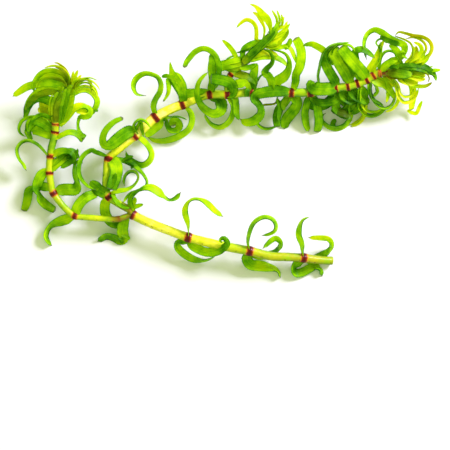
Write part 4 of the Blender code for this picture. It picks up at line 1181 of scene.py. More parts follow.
# A crown is the end of a stem with its young leaves. Its sheath is the leaves packed round the
# tip, each value given from the oldest leaf to the youngest, and its blades are laid one by one.
leftCrownBlades = [
    # the first two blades lie low behind the tip and fill the olive area left of it, standing in
    # for blurred leaves and for the shade on the floor under them, so they are partly painted shade
    blade(10, (5, 5), (0.66, 0.7, 0.6), tip=0.7, stain=(0.4, 0.3, 0), route=[
        (56, 129, 22), (51.5, 122, 20), (47.5, 114.5, 18), (44, 107, 17), (42.5, 99, 17)]),
    blade(8, (15, 10), (0.6, 0.66, 0.8), tip=0.5, stain=(0.3, 0.2, 0), route=[
        (57, 121, 24), (51, 115.5, 21), (44, 111, 17), (37, 108.5, 13)]),
    blade(5, (60, 58, 56), (0.4, 0.46, 0.3), route=[
        (56, 127, 24), (50, 124, 26), (45, 119.5, 28), (38, 117.3, 29), (30, 117.3, 28.5),
        (23, 121, 27), (19.3, 127.5, 24), (20.3, 133, 21), (25.5, 136.7, 18)]),
    blade(5.5, (50, 52, 56), (0.2, 0.2, 0.34), route=[
        (57.5, 117, 26), (51, 118, 30), (45.5, 116, 34), (40, 116, 36), (35.5, 119, 36),
        (31.5, 124.5, 33), (29, 130, 30)]),
    blade(
        8, (45, 40, 30, 25, 60, 40, 20, 50, 60, 30), (0.5, 0.66, 0.66, 0.6, 0.5, 0.4, 0.4, 0.4),
        tip=0.5, spread=(1, 1, 1, 1, 1, 1, 0.9, 0.5, 0.5, 1, 1.1), route=[
            (58.5, 124, 25), (64, 122, 27), (69.5, 115.5, 29), (76, 108.5, 33), (84, 106.5, 34),
            (90, 109.5, 32), (89.5, 115, 29), (84.5, 117.2, 27), (80.5, 117, 26), (78.5, 122, 25),
            (78.5, 128.5, 24), (81.5, 135, 21), (83.5, 139, 17)]),
    blade(9, (30, 20, 30), (0.5, 0.62, 0.66, 0.6), route=[
        (60, 126, 26), (65, 118, 28), (69, 108, 30), (72, 98, 33), (74, 88, 36)]),
    blade(9, (20, 25), (0.5, 0.62, 0.6, 0.5), route=[
        (68, 87, 33), (62, 80.5, 37), (55, 77.3, 39), (48, 77.2, 39), (42, 79.5, 38),
        (38, 84, 35)]),
    blade(8, (15, 20), (0.34, 0.4, 0.36), route=[
        (66, 95, 28), (58, 91, 29), (50, 90.3, 29), (42.5, 92, 27), (37, 96, 24)]),
    blade(6.5, (45, 50, 52, 50), (0.3, 0.42, 0.48, 0.46, 0.4), stain=(0.3, 0.3, 0, 0, 0), route=[
        (69.5, 88, 34), (68, 80.5, 40), (63.5, 74.8, 44), (56.5, 72, 45), (49, 72.2, 44),
        (42, 75.2, 42), (37, 80.5, 39), (34.5, 87, 34), (35.5, 93, 29)]),
    blade(5, (50, 55, 50), (0.34, 0.4, 0.5, 0.46), stain=(0.3, 0.4, 0.1, 0), route=[
        (68, 90, 34), (65, 83.5, 39), (59, 80, 42), (52, 79.3, 42), (45, 80.7, 41),
        (39.5, 84.5, 38), (37, 90, 34)]),
    blade(8, (25, 25), (0.4, 0.5, 0.6, 0.7), tip=0.5, route=[
        (67, 91, 33), (62, 86, 37), (54, 84, 39), (45, 84, 39), (36, 85.5, 36), (28, 87.5, 33),
        (20, 92.3, 29), (13, 97, 26)]),
    blade(5, (30, 35, 40), (0.5, 0.56, 0.54, 0.44), route=[
        (67, 93, 32), (60, 89, 36), (52, 87.5, 36), (44, 88.5, 35), (37, 92.5, 32), (31, 98, 26),
        (26.5, 104.5, 18), (25, 111, 11)]),
    blade(7, (20, 35, 45), (0.36, 0.4, 0.44, 0.4), stain=(0.2, 0.3, 0.1, 0), route=[
        (66, 96, 31), (59, 94, 33), (51, 92.5, 33), (43, 94, 31), (36, 97.5, 27), (30, 102.5, 20),
        (26.5, 108.5, 12)]),
    blade(9, (15, 20, 40, 50), (0.3, 0.26, 0.2, 0.12, 0.3), route=[
        (64, 102, 30), (57, 102, 31), (50, 101, 30), (43.5, 98.7, 28), (36.5, 98.5, 25),
        (30.5, 102, 18), (27, 107.5, 11), (25, 113, 4), (22.5, 119, 0)]),
    blade(10, (30, 15, 10, 60), (0.3, 0.36, 0.3, 0.16), tip=0.5, route=[
        (54, 131, 23), (48.5, 127, 25), (43, 123, 27), (37, 121, 28), (32.5, 122.5, 28),
        (29.5, 127, 26), (27.7, 133, 24)]),
    blade(5, (0, 10), (0.36, 0.4, 0.34), stain=(0.5, 0.3, 0.1), route=[
        (57, 122, 29.5), (57, 115, 32), (58, 107, 34.5), (60.5, 99, 36.5), (64, 92, 38)]),
    blade(5, (-10, 0), (0.5, 0.44, 0.44), stain=(0.3, 0.2, 0), route=[
        (54.3, 123, 28), (54, 115, 31), (54.5, 106, 33.5), (56.5, 98, 35.5), (59.5, 92, 37)]),
    blade(3, (-25, -10), (0.56, 0.64, 0.5), route=[
        (52.7, 126, 25), (51, 118, 28), (50.7, 109, 31), (51.7, 101, 33.5), (54, 94, 36)]),
    blade(5, (10, 10), (0.34, 0.4, 0.34), route=[
        (59.3, 122, 29), (60.5, 114, 32.5), (62, 106, 35), (64.5, 98, 37), (67.5, 89, 38.5)]),
    blade(5, (25, 15), (0.4, 0.46, 0.4), route=[
        (60, 124, 27.5), (63.3, 115, 30.5), (66, 106, 33.5), (68.5, 97, 36.5), (71, 88, 38)]),
    blade(3, (45, 50), (0.66, 0.74), stain=(0.5, 0.5, 0.3), route=[
        (71, 86, 35), (70.5, 78, 40), (67.5, 71.5, 44), (63.5, 67.5, 47), (59.5, 65, 48),
        (56, 64.6, 47)]),
    blade(3, (50, 55), (0.66, 0.8), route=[
        (70.5, 84, 36), (69, 76, 43), (65, 70.8, 46), (59.5, 68, 46), (53, 67.5, 45),
        (46, 69.5, 43)]),
    blade(2.5, (55, 60), (0.84, 0.9), route=[
        (71, 83, 37), (69.8, 76, 43), (66.5, 71.7, 46), (62, 69, 47), (56, 67, 46)]),
    blade(2.5, (55, 60), (0.6, 0.5), stain=(0.3, 0.5), route=[
        (70, 84, 37), (68.5, 77.5, 43), (65, 73, 46), (60.5, 70, 47), (57, 69, 46)]),
    blade(4, (40, 30), (0.74, 0.95), route=[
        (72, 87, 35), (75, 81, 38), (77.3, 76, 41), (79.3, 71.5, 43)]),
    blade(3.5, (30, 30), (0.74, 0.95), route=[
        (71, 87, 35), (73.3, 81, 39), (74.3, 76.5, 42), (74.8, 72.5, 43)]),
    blade(3.5, (30, 30), (0.8, 0.95), route=[
        (72.5, 87, 34), (76.5, 82.5, 36), (80, 79, 38), (82.5, 76, 39)]),
    blade(6, (20, 20), (0.7, 0.84), route=[
        (71, 89, 33), (74.5, 84, 35), (76, 80.5, 37), (76.8, 77.5, 38)]),
    blade(5, (50, 60), (0.6, 0.66), stain=(0.2, 0.3, 0.1), route=[
        (73, 91, 33), (77, 85, 38), (82, 81, 41), (87.5, 80.3, 42), (91.5, 84, 41),
        (92.8, 92.5, 37)]),
    blade(4, (50, 60), (0.7, 0.8, 0.6), route=[
        (73, 93, 33), (79, 88.5, 37), (86, 87, 38), (92, 88.5, 37), (96.5, 93, 35),
        (98.3, 99, 33)]),
    blade(2, (50, 60), (0.6, 0.5), route=[
        (74, 88, 34), (80, 82, 40), (86, 79.5, 42), (92, 79.2, 43), (98, 81.5, 42)]),
    blade(2.5, (50, 60), (0.7, 0.8), route=[
        (74, 90, 34), (84, 82, 41), (91, 81.5, 42), (97, 85.5, 41), (101, 91, 39)]),
    blade(2.5, (50, 60), (0.6, 0.6), route=[
        (74, 89, 34), (84, 84, 40), (91, 85, 41), (96.5, 90, 40), (99, 96, 38)]),
    blade(7.5, (45, 48, 45), (0.7, 0.66, 0.6, 0.5, 0.34), tip=0.6, route=[
        (69, 97, 32), (74, 94.5, 33), (80, 91.7, 35), (87, 91.3, 36), (93.5, 94.5, 34),
        (97.3, 100, 31), (96.5, 106, 28), (93.5, 111, 25), (90.7, 116, 22)]),
    blade(3, (20, 20), (0.3, 0.2), tip=0.3, route=[
        (93.5, 108, 26), (95.3, 109.5, 25), (97.2, 111, 24), (98, 112, 24)]),
    blade(8, (10, 20), (0.7, 0.78, 0.6), tip=0.5, route=[
        (77, 109.5, 32), (81, 110.5, 32.5), (85, 111.5, 32.5), (89, 111, 32)]),
]

sideCrownBlades = [
    blade(
        8, (60, 50, 25, 15, 35), (0.5, 0.56, 0.74, 0.78, 0.84),
        spread=(0.4, 0.35, 0.42, 0.8, 1, 0.85, 0.55, 0.35), route=[
            (264, 43.5, 36.3), (269, 36, 42), (269.7, 29, 46), (267.3, 22.5, 48), (262, 17, 49),
            (258.3, 12, 48.5), (254.5, 8.5, 48), (248.5, 6, 47)]),
    blade(5.5, (50, 45, 25), (0.5, 0.8, 0.86), spread=(0.45, 0.45, 0.6, 0.95, 0.8), route=[
        (262, 44, 36.3), (263.7, 37, 42), (264, 30, 45), (261.3, 23.5, 46), (257.5, 17.5, 45),
        (252, 13.8, 44)]),
    blade(5, (40, 45, 50), (0.66, 0.8, 0.8, 0.66), route=[
        (262, 43.7, 36.3), (256.5, 41.5, 41), (256.3, 35, 43), (255.5, 28.5, 45), (251.5, 23.5, 45),
        (246, 21.7, 44), (240.5, 25, 42), (236.3, 29.7, 40)]),
    blade(6, (10, 30, 45), (0.5, 0.36, 0.2, 0.24), route=[
        (264, 43, 37), (257, 44, 40), (250, 46, 41), (244.5, 49.5, 40), (242.5, 54.5, 38),
        (242.5, 60, 35), (244, 66, 32)]),
    blade(2.5, (40, 50), (0.24, 0.16), route=[
        (256, 47.5, 39), (249, 51, 40), (243, 52.7, 40), (236.7, 54, 38)]),
    blade(3.5, (45, 55), (0.5, 0.74, 0.7), route=[
        (275, 31, 37), (276.7, 25, 41), (275.7, 19, 43), (271.3, 12, 43)]),
    blade(3, (50, 50), (0.6, 0.8), route=[
        (276.5, 29, 37), (279.5, 23.5, 41), (278.5, 18, 43), (276.3, 12, 43)]),
    blade(3, (40, 40), (0.74, 0.88), route=[
        (276, 31, 37), (281.5, 26.5, 41), (282, 21, 42), (280.7, 16, 42)]),
    blade(2.5, (40, 30), (0.8, 0.94), route=[
        (276, 31, 38), (281, 27, 41), (282.3, 22.5, 43), (283.7, 18.5, 43)]),
    blade(5, (15, 20), (0.66, 0.78, 0.8), stain=(0.1, 0), route=[
        (266, 42, 38), (271.5, 39.5, 40), (277.5, 37, 41), (283, 33, 41), (286, 28.5, 41),
        (284.8, 24, 41)]),
    blade(3.5, (20, 30), (0.56, 0.6, 0.44), stain=(0.1, 0.2), route=[
        (266, 46, 38), (273, 46.5, 39), (279, 44, 40), (284, 39.5, 40), (287.3, 34, 40),
        (287, 29, 40)]),
    blade(2.5, (25, 30), (0.7, 0.8, 0.6), route=[
        (275, 38, 40), (281, 34, 42), (286, 30.5, 43), (289.5, 25, 43)]),
    blade(2.5, (35, 30), (0.76, 0.86), route=[
        (274, 34, 41), (279.5, 30.5, 43), (284.5, 27.5, 44), (287, 23, 44)]),
    blade(7, (5, 10), (0.6, 0.74, 0.76), route=[
        (266, 43, 36.8), (272, 43, 39), (278, 41.5, 39), (283, 38, 39), (286, 33.5, 39)]),
    blade(6, (10, 20), (0.7, 0.66), stain=(0.1, 0.1), route=[
        (264, 46, 36), (270, 47.5, 37.5), (276, 46.5, 38), (282, 43, 38.5)]),
    blade(5, (20, 35, 25), (0.5, 0.6, 0.66, 0.6), route=[
        (265, 46.5, 36.3), (273, 49.3, 36.5), (281, 48.5, 37), (286.5, 47, 37.5), (290.5, 50.5, 37),
        (293.7, 57, 36), (297, 65.5, 34)]),
    blade(5, (20, 25), (0.5, 0.4), tip=0.5, route=[
        (284, 50, 36), (287, 47, 37.5), (289.3, 43.5, 38.5), (290, 39.5, 39)]),
    blade(6, (15, 15, 30), (0.5, 0.6, 0.56, 0.5), route=[
        (246, 61.5, 34), (253, 60, 35.5), (260, 58.3, 36), (268, 57.7, 35.5), (276, 58.7, 34),
        (283, 62.3, 32), (288, 68, 31)]),
    blade(7, (10, 20), (0.6, 0.66, 0.7), stain=(0.2, 0.1), route=[
        (252, 57, 35), (258, 55.3, 36), (264, 53.5, 36), (270, 54.5, 35), (278, 56.5, 34)]),
    blade(5, (20, 25), (0.6, 0.66, 0.6), route=[
        (239.5, 66, 33), (236.7, 60, 36), (233.5, 53.5, 38), (229, 47.5, 39), (222, 41, 38)]),
    blade(10, (10, 10), (0.5, 0.6, 0.56, 0.5), tip=0.8, route=[
        (246, 61, 34), (238, 63, 36.5), (230, 65, 36.5), (221.5, 67, 34), (213, 68.5, 31)]),
    blade(8, (20, 20), (0.4, 0.46, 0.5), stain=(0.2, 0.1), route=[
        (247, 64, 33), (240, 67.5, 35.5), (232, 69, 35), (224, 69.5, 33)]),
    blade(2, (50, 50), (0.2, 0.2), route=[
        (234, 57, 37), (231, 58, 38), (228, 59.7, 38), (225.5, 61.5, 38)]),
    blade(8, (10, 5), (0.5, 0.2, 0.16), stain=(0.3, 0, 0), route=[
        (243, 64, 37.5), (249, 58, 40), (255.5, 51.5, 42), (262, 45, 43)]),
    blade(6, (0, 5), (0.16, 0.16, 0.26), route=[
        (248, 57, 40.5), (255, 51, 42), (262.5, 44, 43.5), (269.5, 37.5, 43.5), (275, 31.5, 42.5)]),
    blade(5, (5, 5), (0.2, 0.3, 0.6), route=[
        (257, 52, 41.5), (264.5, 45.5, 43.5), (271, 39, 43), (275.7, 32, 42), (277.3, 24, 41)]),
    blade(3, (5, 5), (0.3, 0.4, 0.7), route=[
        (262, 44, 43), (268.5, 37, 43.8), (273.5, 31.5, 43.5), (276.5, 25, 42), (276.5, 18, 41)]),
    blade(6, (20, 40), (0.5, 0.3, 0.2), route=[
        (240, 68, 35), (246, 69, 37), (252, 67.5, 38), (257, 65, 38)]),
    blade(8, (15, 20), (0.44, 0.3, 0.12), stain=(0.4, 0.3, 0), route=[
        (233, 73, 32), (240, 75.5, 33.5), (247, 77.5, 33.5), (253, 80.5, 32), (257, 85, 30)]),
]

upperCrownBlades = [
    blade(9.5, (10, 5, 10, 40, 55, 50), (0.2, 0.12, 0.26, 0.3, 0.36, 0.3), tip=0.6, route=[
        (337.5, 87, 27), (333.5, 80, 32), (328.7, 72.5, 36), (324.7, 65, 39), (323.7, 57.5, 41),
        (327.5, 51, 42), (333.5, 47, 42.5)]),
    blade(8, (45, 50, 40, 45, 66), (0.3, 0.4, 0.66, 0.6, 0.24), tip=0.5, route=[
        (331, 66, 33), (328.5, 59, 37), (324, 53, 39.5), (317.5, 48.3, 40.5), (311, 45.5, 40),
        (302.5, 46.7, 38)]),
    blade(12.5, (5, 0, 0, 15, 40), (0.12, 0.36, 0.4, 0.24, 0.14), tip=0.45, route=[
        (336, 88.5, 28), (327, 89.5, 30.5), (319, 89.5, 30.5), (312.5, 88, 30), (311, 84.5, 29),
        (314.5, 82, 27)]),
    blade(10, (25, 20, 15), (0.16, 0.2, 0.16), tip=0.6, route=[
        (336, 89, 24), (333, 97, 18), (326, 103.5, 12), (317, 105.5, 9), (307.5, 104, 7)]),
    blade(9, (20, 20), (0.14, 0.24, 0.2), route=[
        (338, 88, 24), (337.5, 98, 18), (336, 106, 14), (340, 112, 11), (346, 115.5, 9),
        (352, 117.5, 7)]),
    blade(
        11.5, (8, 5), (0.14, 0.2, 0.4, 0.46, 0.44, 0.3), tip=1.0, stain=(0.1, 0.1, 0.1, 0), route=[
            (350.5, 83.5, 29), (346.5, 76.5, 34), (342, 69.5, 38), (337.5, 62.5, 41),
            (333.5, 55.5, 43), (332, 48.5, 44)]),
    blade(7.5, (50, 50, 54), (0.24, 0.3, 0.36, 0.3, 0.2), route=[
        (348, 87, 25), (350, 98, 18), (351, 108, 11), (350.5, 117, 5), (346, 124.5, 2),
        (338, 127.8, 1), (329.5, 126, 1), (323.5, 121, 2), (322.5, 115.5, 4), (326.5, 112.3, 6)]),
    blade(11, (10, 10), (0.26, 0.24, 0.2), route=[
        (350, 87, 25), (354.5, 94, 21), (361.5, 98, 19), (370, 102.5, 15)]),
    blade(10, (10, 15), (0.2, 0.26, 0.2), route=[
        (342, 89, 24), (344, 95.5, 20), (350, 99.5, 18), (358, 101, 16)]),
    blade(11.5, (8, 5), (0.2, 0.36, 0.5, 0.5, 0.44, 0.3), tip=0.9, route=[
        (366, 79.5, 31), (361.5, 73.5, 36), (356, 67.5, 40), (350, 61, 43), (344.3, 54.7, 45),
        (339.5, 48.5, 46)]),
    blade(4, (20, 30), (0.24, 0.16, 0.2), route=[
        (354, 78, 33), (350, 70, 38), (344.5, 62.5, 41.5), (338.5, 54.5, 44)]),
    blade(7, (58, 56), (0.5, 0.36, 0.34, 0.5), route=[
        (360, 83, 26), (359, 98, 19), (360, 107, 12), (365.5, 113.3, 6), (373, 115.3, 3),
        (381.5, 112, 3), (389, 105, 5)]),
    blade(5, (50, 50), (0.5, 0.6, 0.5), route=[
        (362, 84, 26), (361, 97, 20), (363.5, 106, 14), (369, 110.7, 8), (377, 111, 6),
        (384, 108, 6)]),
    blade(4, (40, 40), (0.7, 0.78), stain=(0.0, 0.1), route=[
        (366, 98, 17), (366.5, 108, 9), (364.5, 117, 3), (359, 123, 1), (351.5, 126, 0)]),
    blade(3, (40, 40), (0.7, 0.7), stain=(0.0, 0.3), route=[
        (365, 103, 14), (364.7, 112, 7), (361.5, 118, 3), (355, 122.5, 2), (350, 124.3, 1)]),
    blade(5, (15, 10), (0.7, 0.74, 0.66), route=[
        (366.5, 83, 28), (366, 76, 32), (368, 69.5, 35), (372.5, 62.5, 38), (377, 54, 41),
        (380, 47, 43), (383, 41, 45)]),
    blade(5, (35, 40), (0.72, 0.66, 0.5), route=[
        (370, 78, 29), (373.5, 69, 33), (377, 61.5, 37), (379, 54, 41), (380.5, 47, 44)]),
    blade(7, (30, 25, 20, 52, 54, 56), (0.4, 0.5, 0.46, 0.54, 0.4, 0.2), route=[
        (400, 60, 38), (403, 52, 41), (402, 46.5, 43), (395, 43.5, 45), (387, 39.7, 46),
        (380, 34.5, 47), (373, 31.7, 47), (366.5, 35, 45.5), (363.3, 41.5, 44), (363, 50, 42),
        (365.5, 61, 38)]),
    blade(5, (10, 20), (0.2, 0.14, 0.1), tip=0.6, route=[
        (398, 46.5, 45), (391.5, 44.5, 46.5), (385, 42, 47), (378, 38.5, 47.5)]),
    blade(4, (50, 50, 55), (0.4, 0.3, 0.26, 0.3), route=[
        (377.5, 74, 29), (378.5, 66, 34), (380, 58.5, 39), (384, 53.3, 42), (390, 52.7, 42),
        (395.5, 57, 40), (400.5, 67.5, 36)]),
    blade(5.5, (50, 58, 58), (0.66, 0.72, 0.7, 0.6), stain=(0, 0, 0.1, 0.35, 0.4, 0.2), route=[
        (402, 70, 31), (412, 64.5, 36), (421.5, 61.5, 39), (428, 56, 41), (430, 49, 43),
        (427, 42.5, 44), (420, 38.5, 45), (411.5, 37.3, 45), (403, 35, 44.5), (397, 34, 44),
        (393, 38, 43)]),
    blade(4, (60, 60), (0.78, 0.7, 0.6), stain=(0, 0.1, 0.35), route=[
        (402, 71, 31), (412, 62.5, 37), (420, 57.5, 40), (424.5, 51, 41.5), (423, 45, 42),
        (417.5, 40.8, 42.5), (411, 39, 42.5), (404, 40.5, 42)]),
    blade(3, (60, 60), (0.6, 0.5), stain=(0.1, 0.35), route=[
        (405, 65.5, 37), (411, 58, 41), (411.3, 51, 43), (408.7, 45, 44), (403.5, 41.5, 44),
        (398, 39.5, 44), (393, 37.8, 43)]),
    blade(4.5, (25, 30), (0.66, 0.72, 0.74), route=[
        (403, 66, 36), (409.5, 62, 39), (416, 58, 41), (420, 52, 42), (418, 46.5, 42),
        (411.5, 43.5, 42)]),
    blade(3.5, (30, 30), (0.66, 0.7), stain=(0, 0.4), route=[
        (404, 64, 37), (411, 59, 40), (415.5, 53, 41), (414, 47, 42)]),
    blade(6, (20, 15, 30), (0.3, 0.2, 0.16, 0.24), route=[
        (398, 72, 30), (406, 67.5, 34.5), (415, 66.3, 36), (424, 68, 34.5), (431, 72.5, 31),
        (434.5, 77, 28), (435.8, 82, 26)]),
    blade(6, (45, 50), (0.4, 0.5, 0.6, 0.3), stain=(0, 0.1, 0.2, 0.6), route=[
        (398, 73.5, 30), (404.5, 80.5, 29), (411, 85, 28), (418.5, 87, 27), (426, 86, 26.5),
        (432, 82.5, 26)]),
    blade(6, (66, 66), (0.3, 0.3, 0.34), route=[
        (371, 77, 28), (370.5, 90, 22), (373, 99.5, 18), (379, 106.5, 16), (387, 108, 15),
        (393.5, 102.5, 15), (395, 94.5, 17), (391, 87, 20)]),
    blade(5, (35, 35), (0.66, 0.72), route=[
        (382, 74, 29), (387, 84, 26), (388, 94, 22), (386.5, 103, 18)]),
    blade(5, (50, 50), (0.7, 0.76, 0.72), route=[
        (386, 77, 29), (394, 85, 27), (397.3, 94, 23), (397.5, 102, 19), (393, 108.5, 16),
        (385, 112, 14)]),
    blade(4, (55, 55), (0.8, 0.8), route=[
        (391, 77, 29), (398, 86, 26), (400, 93.5, 23), (404.5, 97, 22), (411, 95.3, 22),
        (413.5, 89, 24)]),
    blade(5.5, (50, 55), (0.76, 0.76), route=[
        (390, 76, 29), (397, 88, 24), (398.5, 96.5, 21), (404, 102.5, 19), (411.5, 101, 18),
        (416.5, 95, 19), (418.5, 88, 21)]),
    blade(7, (15, 10, 10, 40), (0.7, 0.76, 0.8, 0.7), tip=0.9, route=[
        (400, 75, 29), (409, 82, 26), (413, 90, 20), (413, 99, 13), (412.3, 109.5, 6)]),
    blade(4, (20, 20), (0.7, 0.8, 0.7), route=[
        (408.5, 109.5, 4), (413, 112, 5), (417.5, 112.5, 7), (420.3, 106, 10), (423, 100, 12)]),
    blade(7, (20, 10), (0.7, 0.64, 0.5), route=[
        (370, 79, 28), (377, 83, 27), (385, 86, 26), (391, 92, 23), (395, 99, 19)]),
    blade(6, (40, 60), (0.3, 0.2, 0.2), route=[
        (368, 84, 27), (370, 93, 21), (374, 100, 18), (379.5, 103, 16), (384.5, 106.5, 14)]),
    blade(6, (60, 50), (0.5, 0.4), route=[(373, 82, 27), (377, 90.5, 23), (373.5, 97, 20)]),
    blade(9, (10, 20), (0.26, 0.2), route=[
        (352, 90, 23), (353.5, 97, 19), (352, 104, 14), (346, 110, 9), (338, 113.5, 6)]),
    blade(8, (10, 20), (0.26, 0.2), route=[
        (361, 87, 25), (364, 94, 20), (363, 102, 15), (358, 109, 10), (352, 114, 7)]),
    blade(7, (10, 15), (0.12, 0.06, 0.1), stain=(0, 0.3, 0.2), route=[
        (332, 108.5, 12), (338, 111, 12), (344, 113, 12), (351, 116.5, 10)]),
    blade(5, (20, 20), (0.2, 0.16), route=[(333.5, 126.5, 2), (334, 122, 4), (336.5, 118.5, 5)]),
    blade(5, (10, 10), (0.4, 0.4, 0.6), stain=(0.8, 0.5, 0), route=[
        (387, 77, 32), (391, 77.3, 35), (396, 77.7, 36.5), (402, 78, 37), (408, 78, 36.5)]),
    blade(5, (5, 5), (0.3, 0.3, 0.4), stain=(0.8, 0.3, 0), route=[
        (388, 74, 33), (392, 74, 36), (397, 74.5, 38), (404, 75, 38.5), (411, 75.5, 38)]),
    blade(4.5, (0, 0), (0.4, 0.26, 0.2), stain=(0.4, 0.1, 0), route=[
        (387, 71.5, 34), (392, 71, 37.5), (399, 70.5, 39.5), (407, 69.5, 40), (414, 69, 38)]),
    blade(4.5, (10, 10), (0.3, 0.2, 0.16), route=[
        (390, 69, 36), (398, 67.5, 39), (406, 66.5, 40), (414, 67, 39.5), (421, 69, 38)]),
    blade(3.5, (20, 20), (0.2, 0.14, 0.3), route=[
        (404, 70.5, 39), (412, 70, 40), (420, 71.5, 38), (427, 74.5, 34)]),
    blade(5, (20, 20), (0.86, 0.9), route=[
        (404, 76, 32), (411, 78, 33), (418, 80, 32), (425, 79.5, 30)]),
    blade(5, (30, 30), (0.7, 0.84), route=[(410, 75, 33), (417, 76, 33), (425, 76.5, 31)]),
    blade(7, (10, 20), (0.8, 0.9), route=[
        (397, 78, 30), (404, 81.5, 30), (411, 83.5, 29), (418, 83, 28)]),
    blade(8, (20, 20), (0.5, 0.5, 0.56), route=[
        (380, 71, 33), (385, 66.5, 36), (391, 62.5, 38), (397, 59, 38)]),
    blade(7, (20, 20), (0.5, 0.44), route=[
        (390, 69, 34), (396, 63, 37), (397, 56, 40), (393, 50, 43), (387, 46.5, 44)]),
    blade(4, (40, 40), (0.5, 0.3), route=[
        (400, 66, 36), (398, 58, 40), (400, 53, 42), (405, 54.5, 41)]),
    blade(4, (40, 40), (0.5, 0.3), route=[
        (402, 68, 35), (399, 61, 39), (401, 57.5, 41), (406, 60, 40)]),
    blade(3, (60, 60), (0.36, 0.3), route=[
        (385, 45, 44), (382, 41, 45), (377, 41.3, 45), (374.7, 45, 44), (378.5, 50, 42)]),
    blade(4, (60, 60), (0.4, 0.3, 0.3), route=[
        (376.5, 63, 38), (378.5, 56, 41), (377.7, 49, 43), (380, 43.5, 45)]),
    blade(7, (20, 20), (0.7, 0.78, 0.76), route=[
        (404, 68, 33), (412, 63, 35.5), (419, 58.5, 37.5), (423.5, 52, 38.5)]),
    blade(6, (20, 20), (0.7, 0.76, 0.7), route=[
        (404, 66, 33), (410, 60.5, 36), (413, 54, 37.5), (412.5, 47.5, 38)]),
    blade(6, (15, 15), (0.66, 0.7), route=[
        (410, 67, 32), (418, 64.5, 34), (424.5, 60, 36), (427.5, 54.5, 37)]),
    blade(3.5, (10, 10), (0.2, 0.0, 0.0), tip=0.8, route=[
        (397, 69.5, 40.5), (393.5, 67.8, 41), (390.5, 68.3, 41), (388.8, 70.3, 40)]),
    blade(9, (10, 15), (0.5, 0.6, 0.66), stain=(0.1, 0), route=[
        (371, 78, 25), (379, 81.5, 24.5), (387, 84, 23.5), (395, 85.5, 22)]),
    blade(2.5, (60, 60), (0.3, 0.3), stain=(0.4, 0.6), route=[
        (413, 72, 36), (420, 72.5, 36.5), (425.5, 75, 36), (428, 79, 34.5), (427, 83, 33)]),
    blade(12, (10, 10), (0.2, 0.24, 0.2), route=[
        (344, 91, 20), (351, 97, 14), (360, 101, 10), (369, 104, 7)]),
    blade(10, (10, 10), (0.2, 0.22, 0.16), route=[
        (337, 92, 19), (343, 99, 12), (350, 104, 8), (358, 107.5, 6)]),
    blade(8, (15, 15), (0.22, 0.14, 0.2), route=[
        (341, 92, 19), (336, 99.5, 19), (327, 102.5, 18.5), (318, 102, 19), (309, 99.5, 20)]),
    blade(9, (5, 5), (0.24, 0.26, 0.34, 0.4), stain=(0.5, 0.1, 0), route=[
        (387, 73.5, 34.5), (393, 74, 38.5), (399, 75, 40.5), (405, 75.5, 40.5), (411, 75, 39)]),
]

crowns = {
    "left_shoot_crown": {
        "radii": (3.8, 4.2, 4.6, 4.2, 2.0),
        "tone": (0.6, 0.4, 0.36, 0.42, 0.4, 0.3),
        "stains": [((57, 116, 27), 11, 0.5)],
        "rust": (0.6,),
        "ringSize": 0.8,
        "joins": [(55.5, 131, 23), (55.8, 127.5, 23.8)],
        "sheath": {
            "count": 12, "starts": (0.4, 0.95), "lengths": (18, 16, 12), "flares": (2, 3, 5),
            "widths": (7, 6, 3), "tones": (0.3, 0.36, 0.5), "stains": (0.1, 0.0)},
        "nodes": (0,),
        "route": [
            (56, 124, 24.4), (57.5, 112, 27), (61, 100, 30), (66, 91.5, 32.5), (71, 84.5, 35)],
        "blades": leftCrownBlades,
    },
    "side_shoot_crown": {
        "radii": (4.6, 3.2, 1.2),
        "tone": (0.2, 0.2, 0.3),
        "rust": (),
        "joins": [(258, 49, 35.5)],
        "sheath": {
            "count": 8, "starts": (0.1, 0.9), "lengths": (14, 11, 8), "flares": (1, 1.5, 2),
            "widths": (5, 4, 3), "tones": (0.1, 0.16, 0.5), "stains": (0.0, 0.0)},
        "nodes": (),
        "route": [(263, 44.7, 36.1), (270, 37, 36.5), (277, 28, 37)],
        "blades": sideCrownBlades,
    },
    "upper_shoot_crown": {
        "radii": (4.2, 4.1, 4.0, 4.0, 4.3, 4.2, 2.8, 1.2),
        "tone": (0.44, 0.46, 0.6, 0.54, 0.5, 0.5, 0.5, 0.5, 0.4),
        "stains": [((385, 74.5, 31), 9, 5.0), ((376, 76, 29), 7, 0.5)],
        "rust": (0.9, 1, 1, 1, 0.7, 0.55),
        "ringSize": 0.72,
        "joins": [(331, 89, 24.3)],
        "sheath": {
            "count": 14, "starts": (0.62, 0.95), "lengths": (16, 20, 14), "flares": (2, 2, 4),
            "widths": (5, 5, 4), "tones": (0.36, 0.36, 0.5), "stains": (0.4, 0.1, 0.0)},
        "nodes": (1, 2, 3, 4, 5, 6),
        "route": [
            (332.5, 88.7, 24.4), (336, 88, 24.5), (348, 86.5, 25.5), (357.5, 83.7, 26.5),
            (366.5, 80, 27.5), (373, 76, 28.5), (379, 73.3, 29), (390, 73, 29), (400, 72, 30),
            (415, 72, 30), (428, 72, 29)],
        "blades": upperCrownBlades,
    },
}


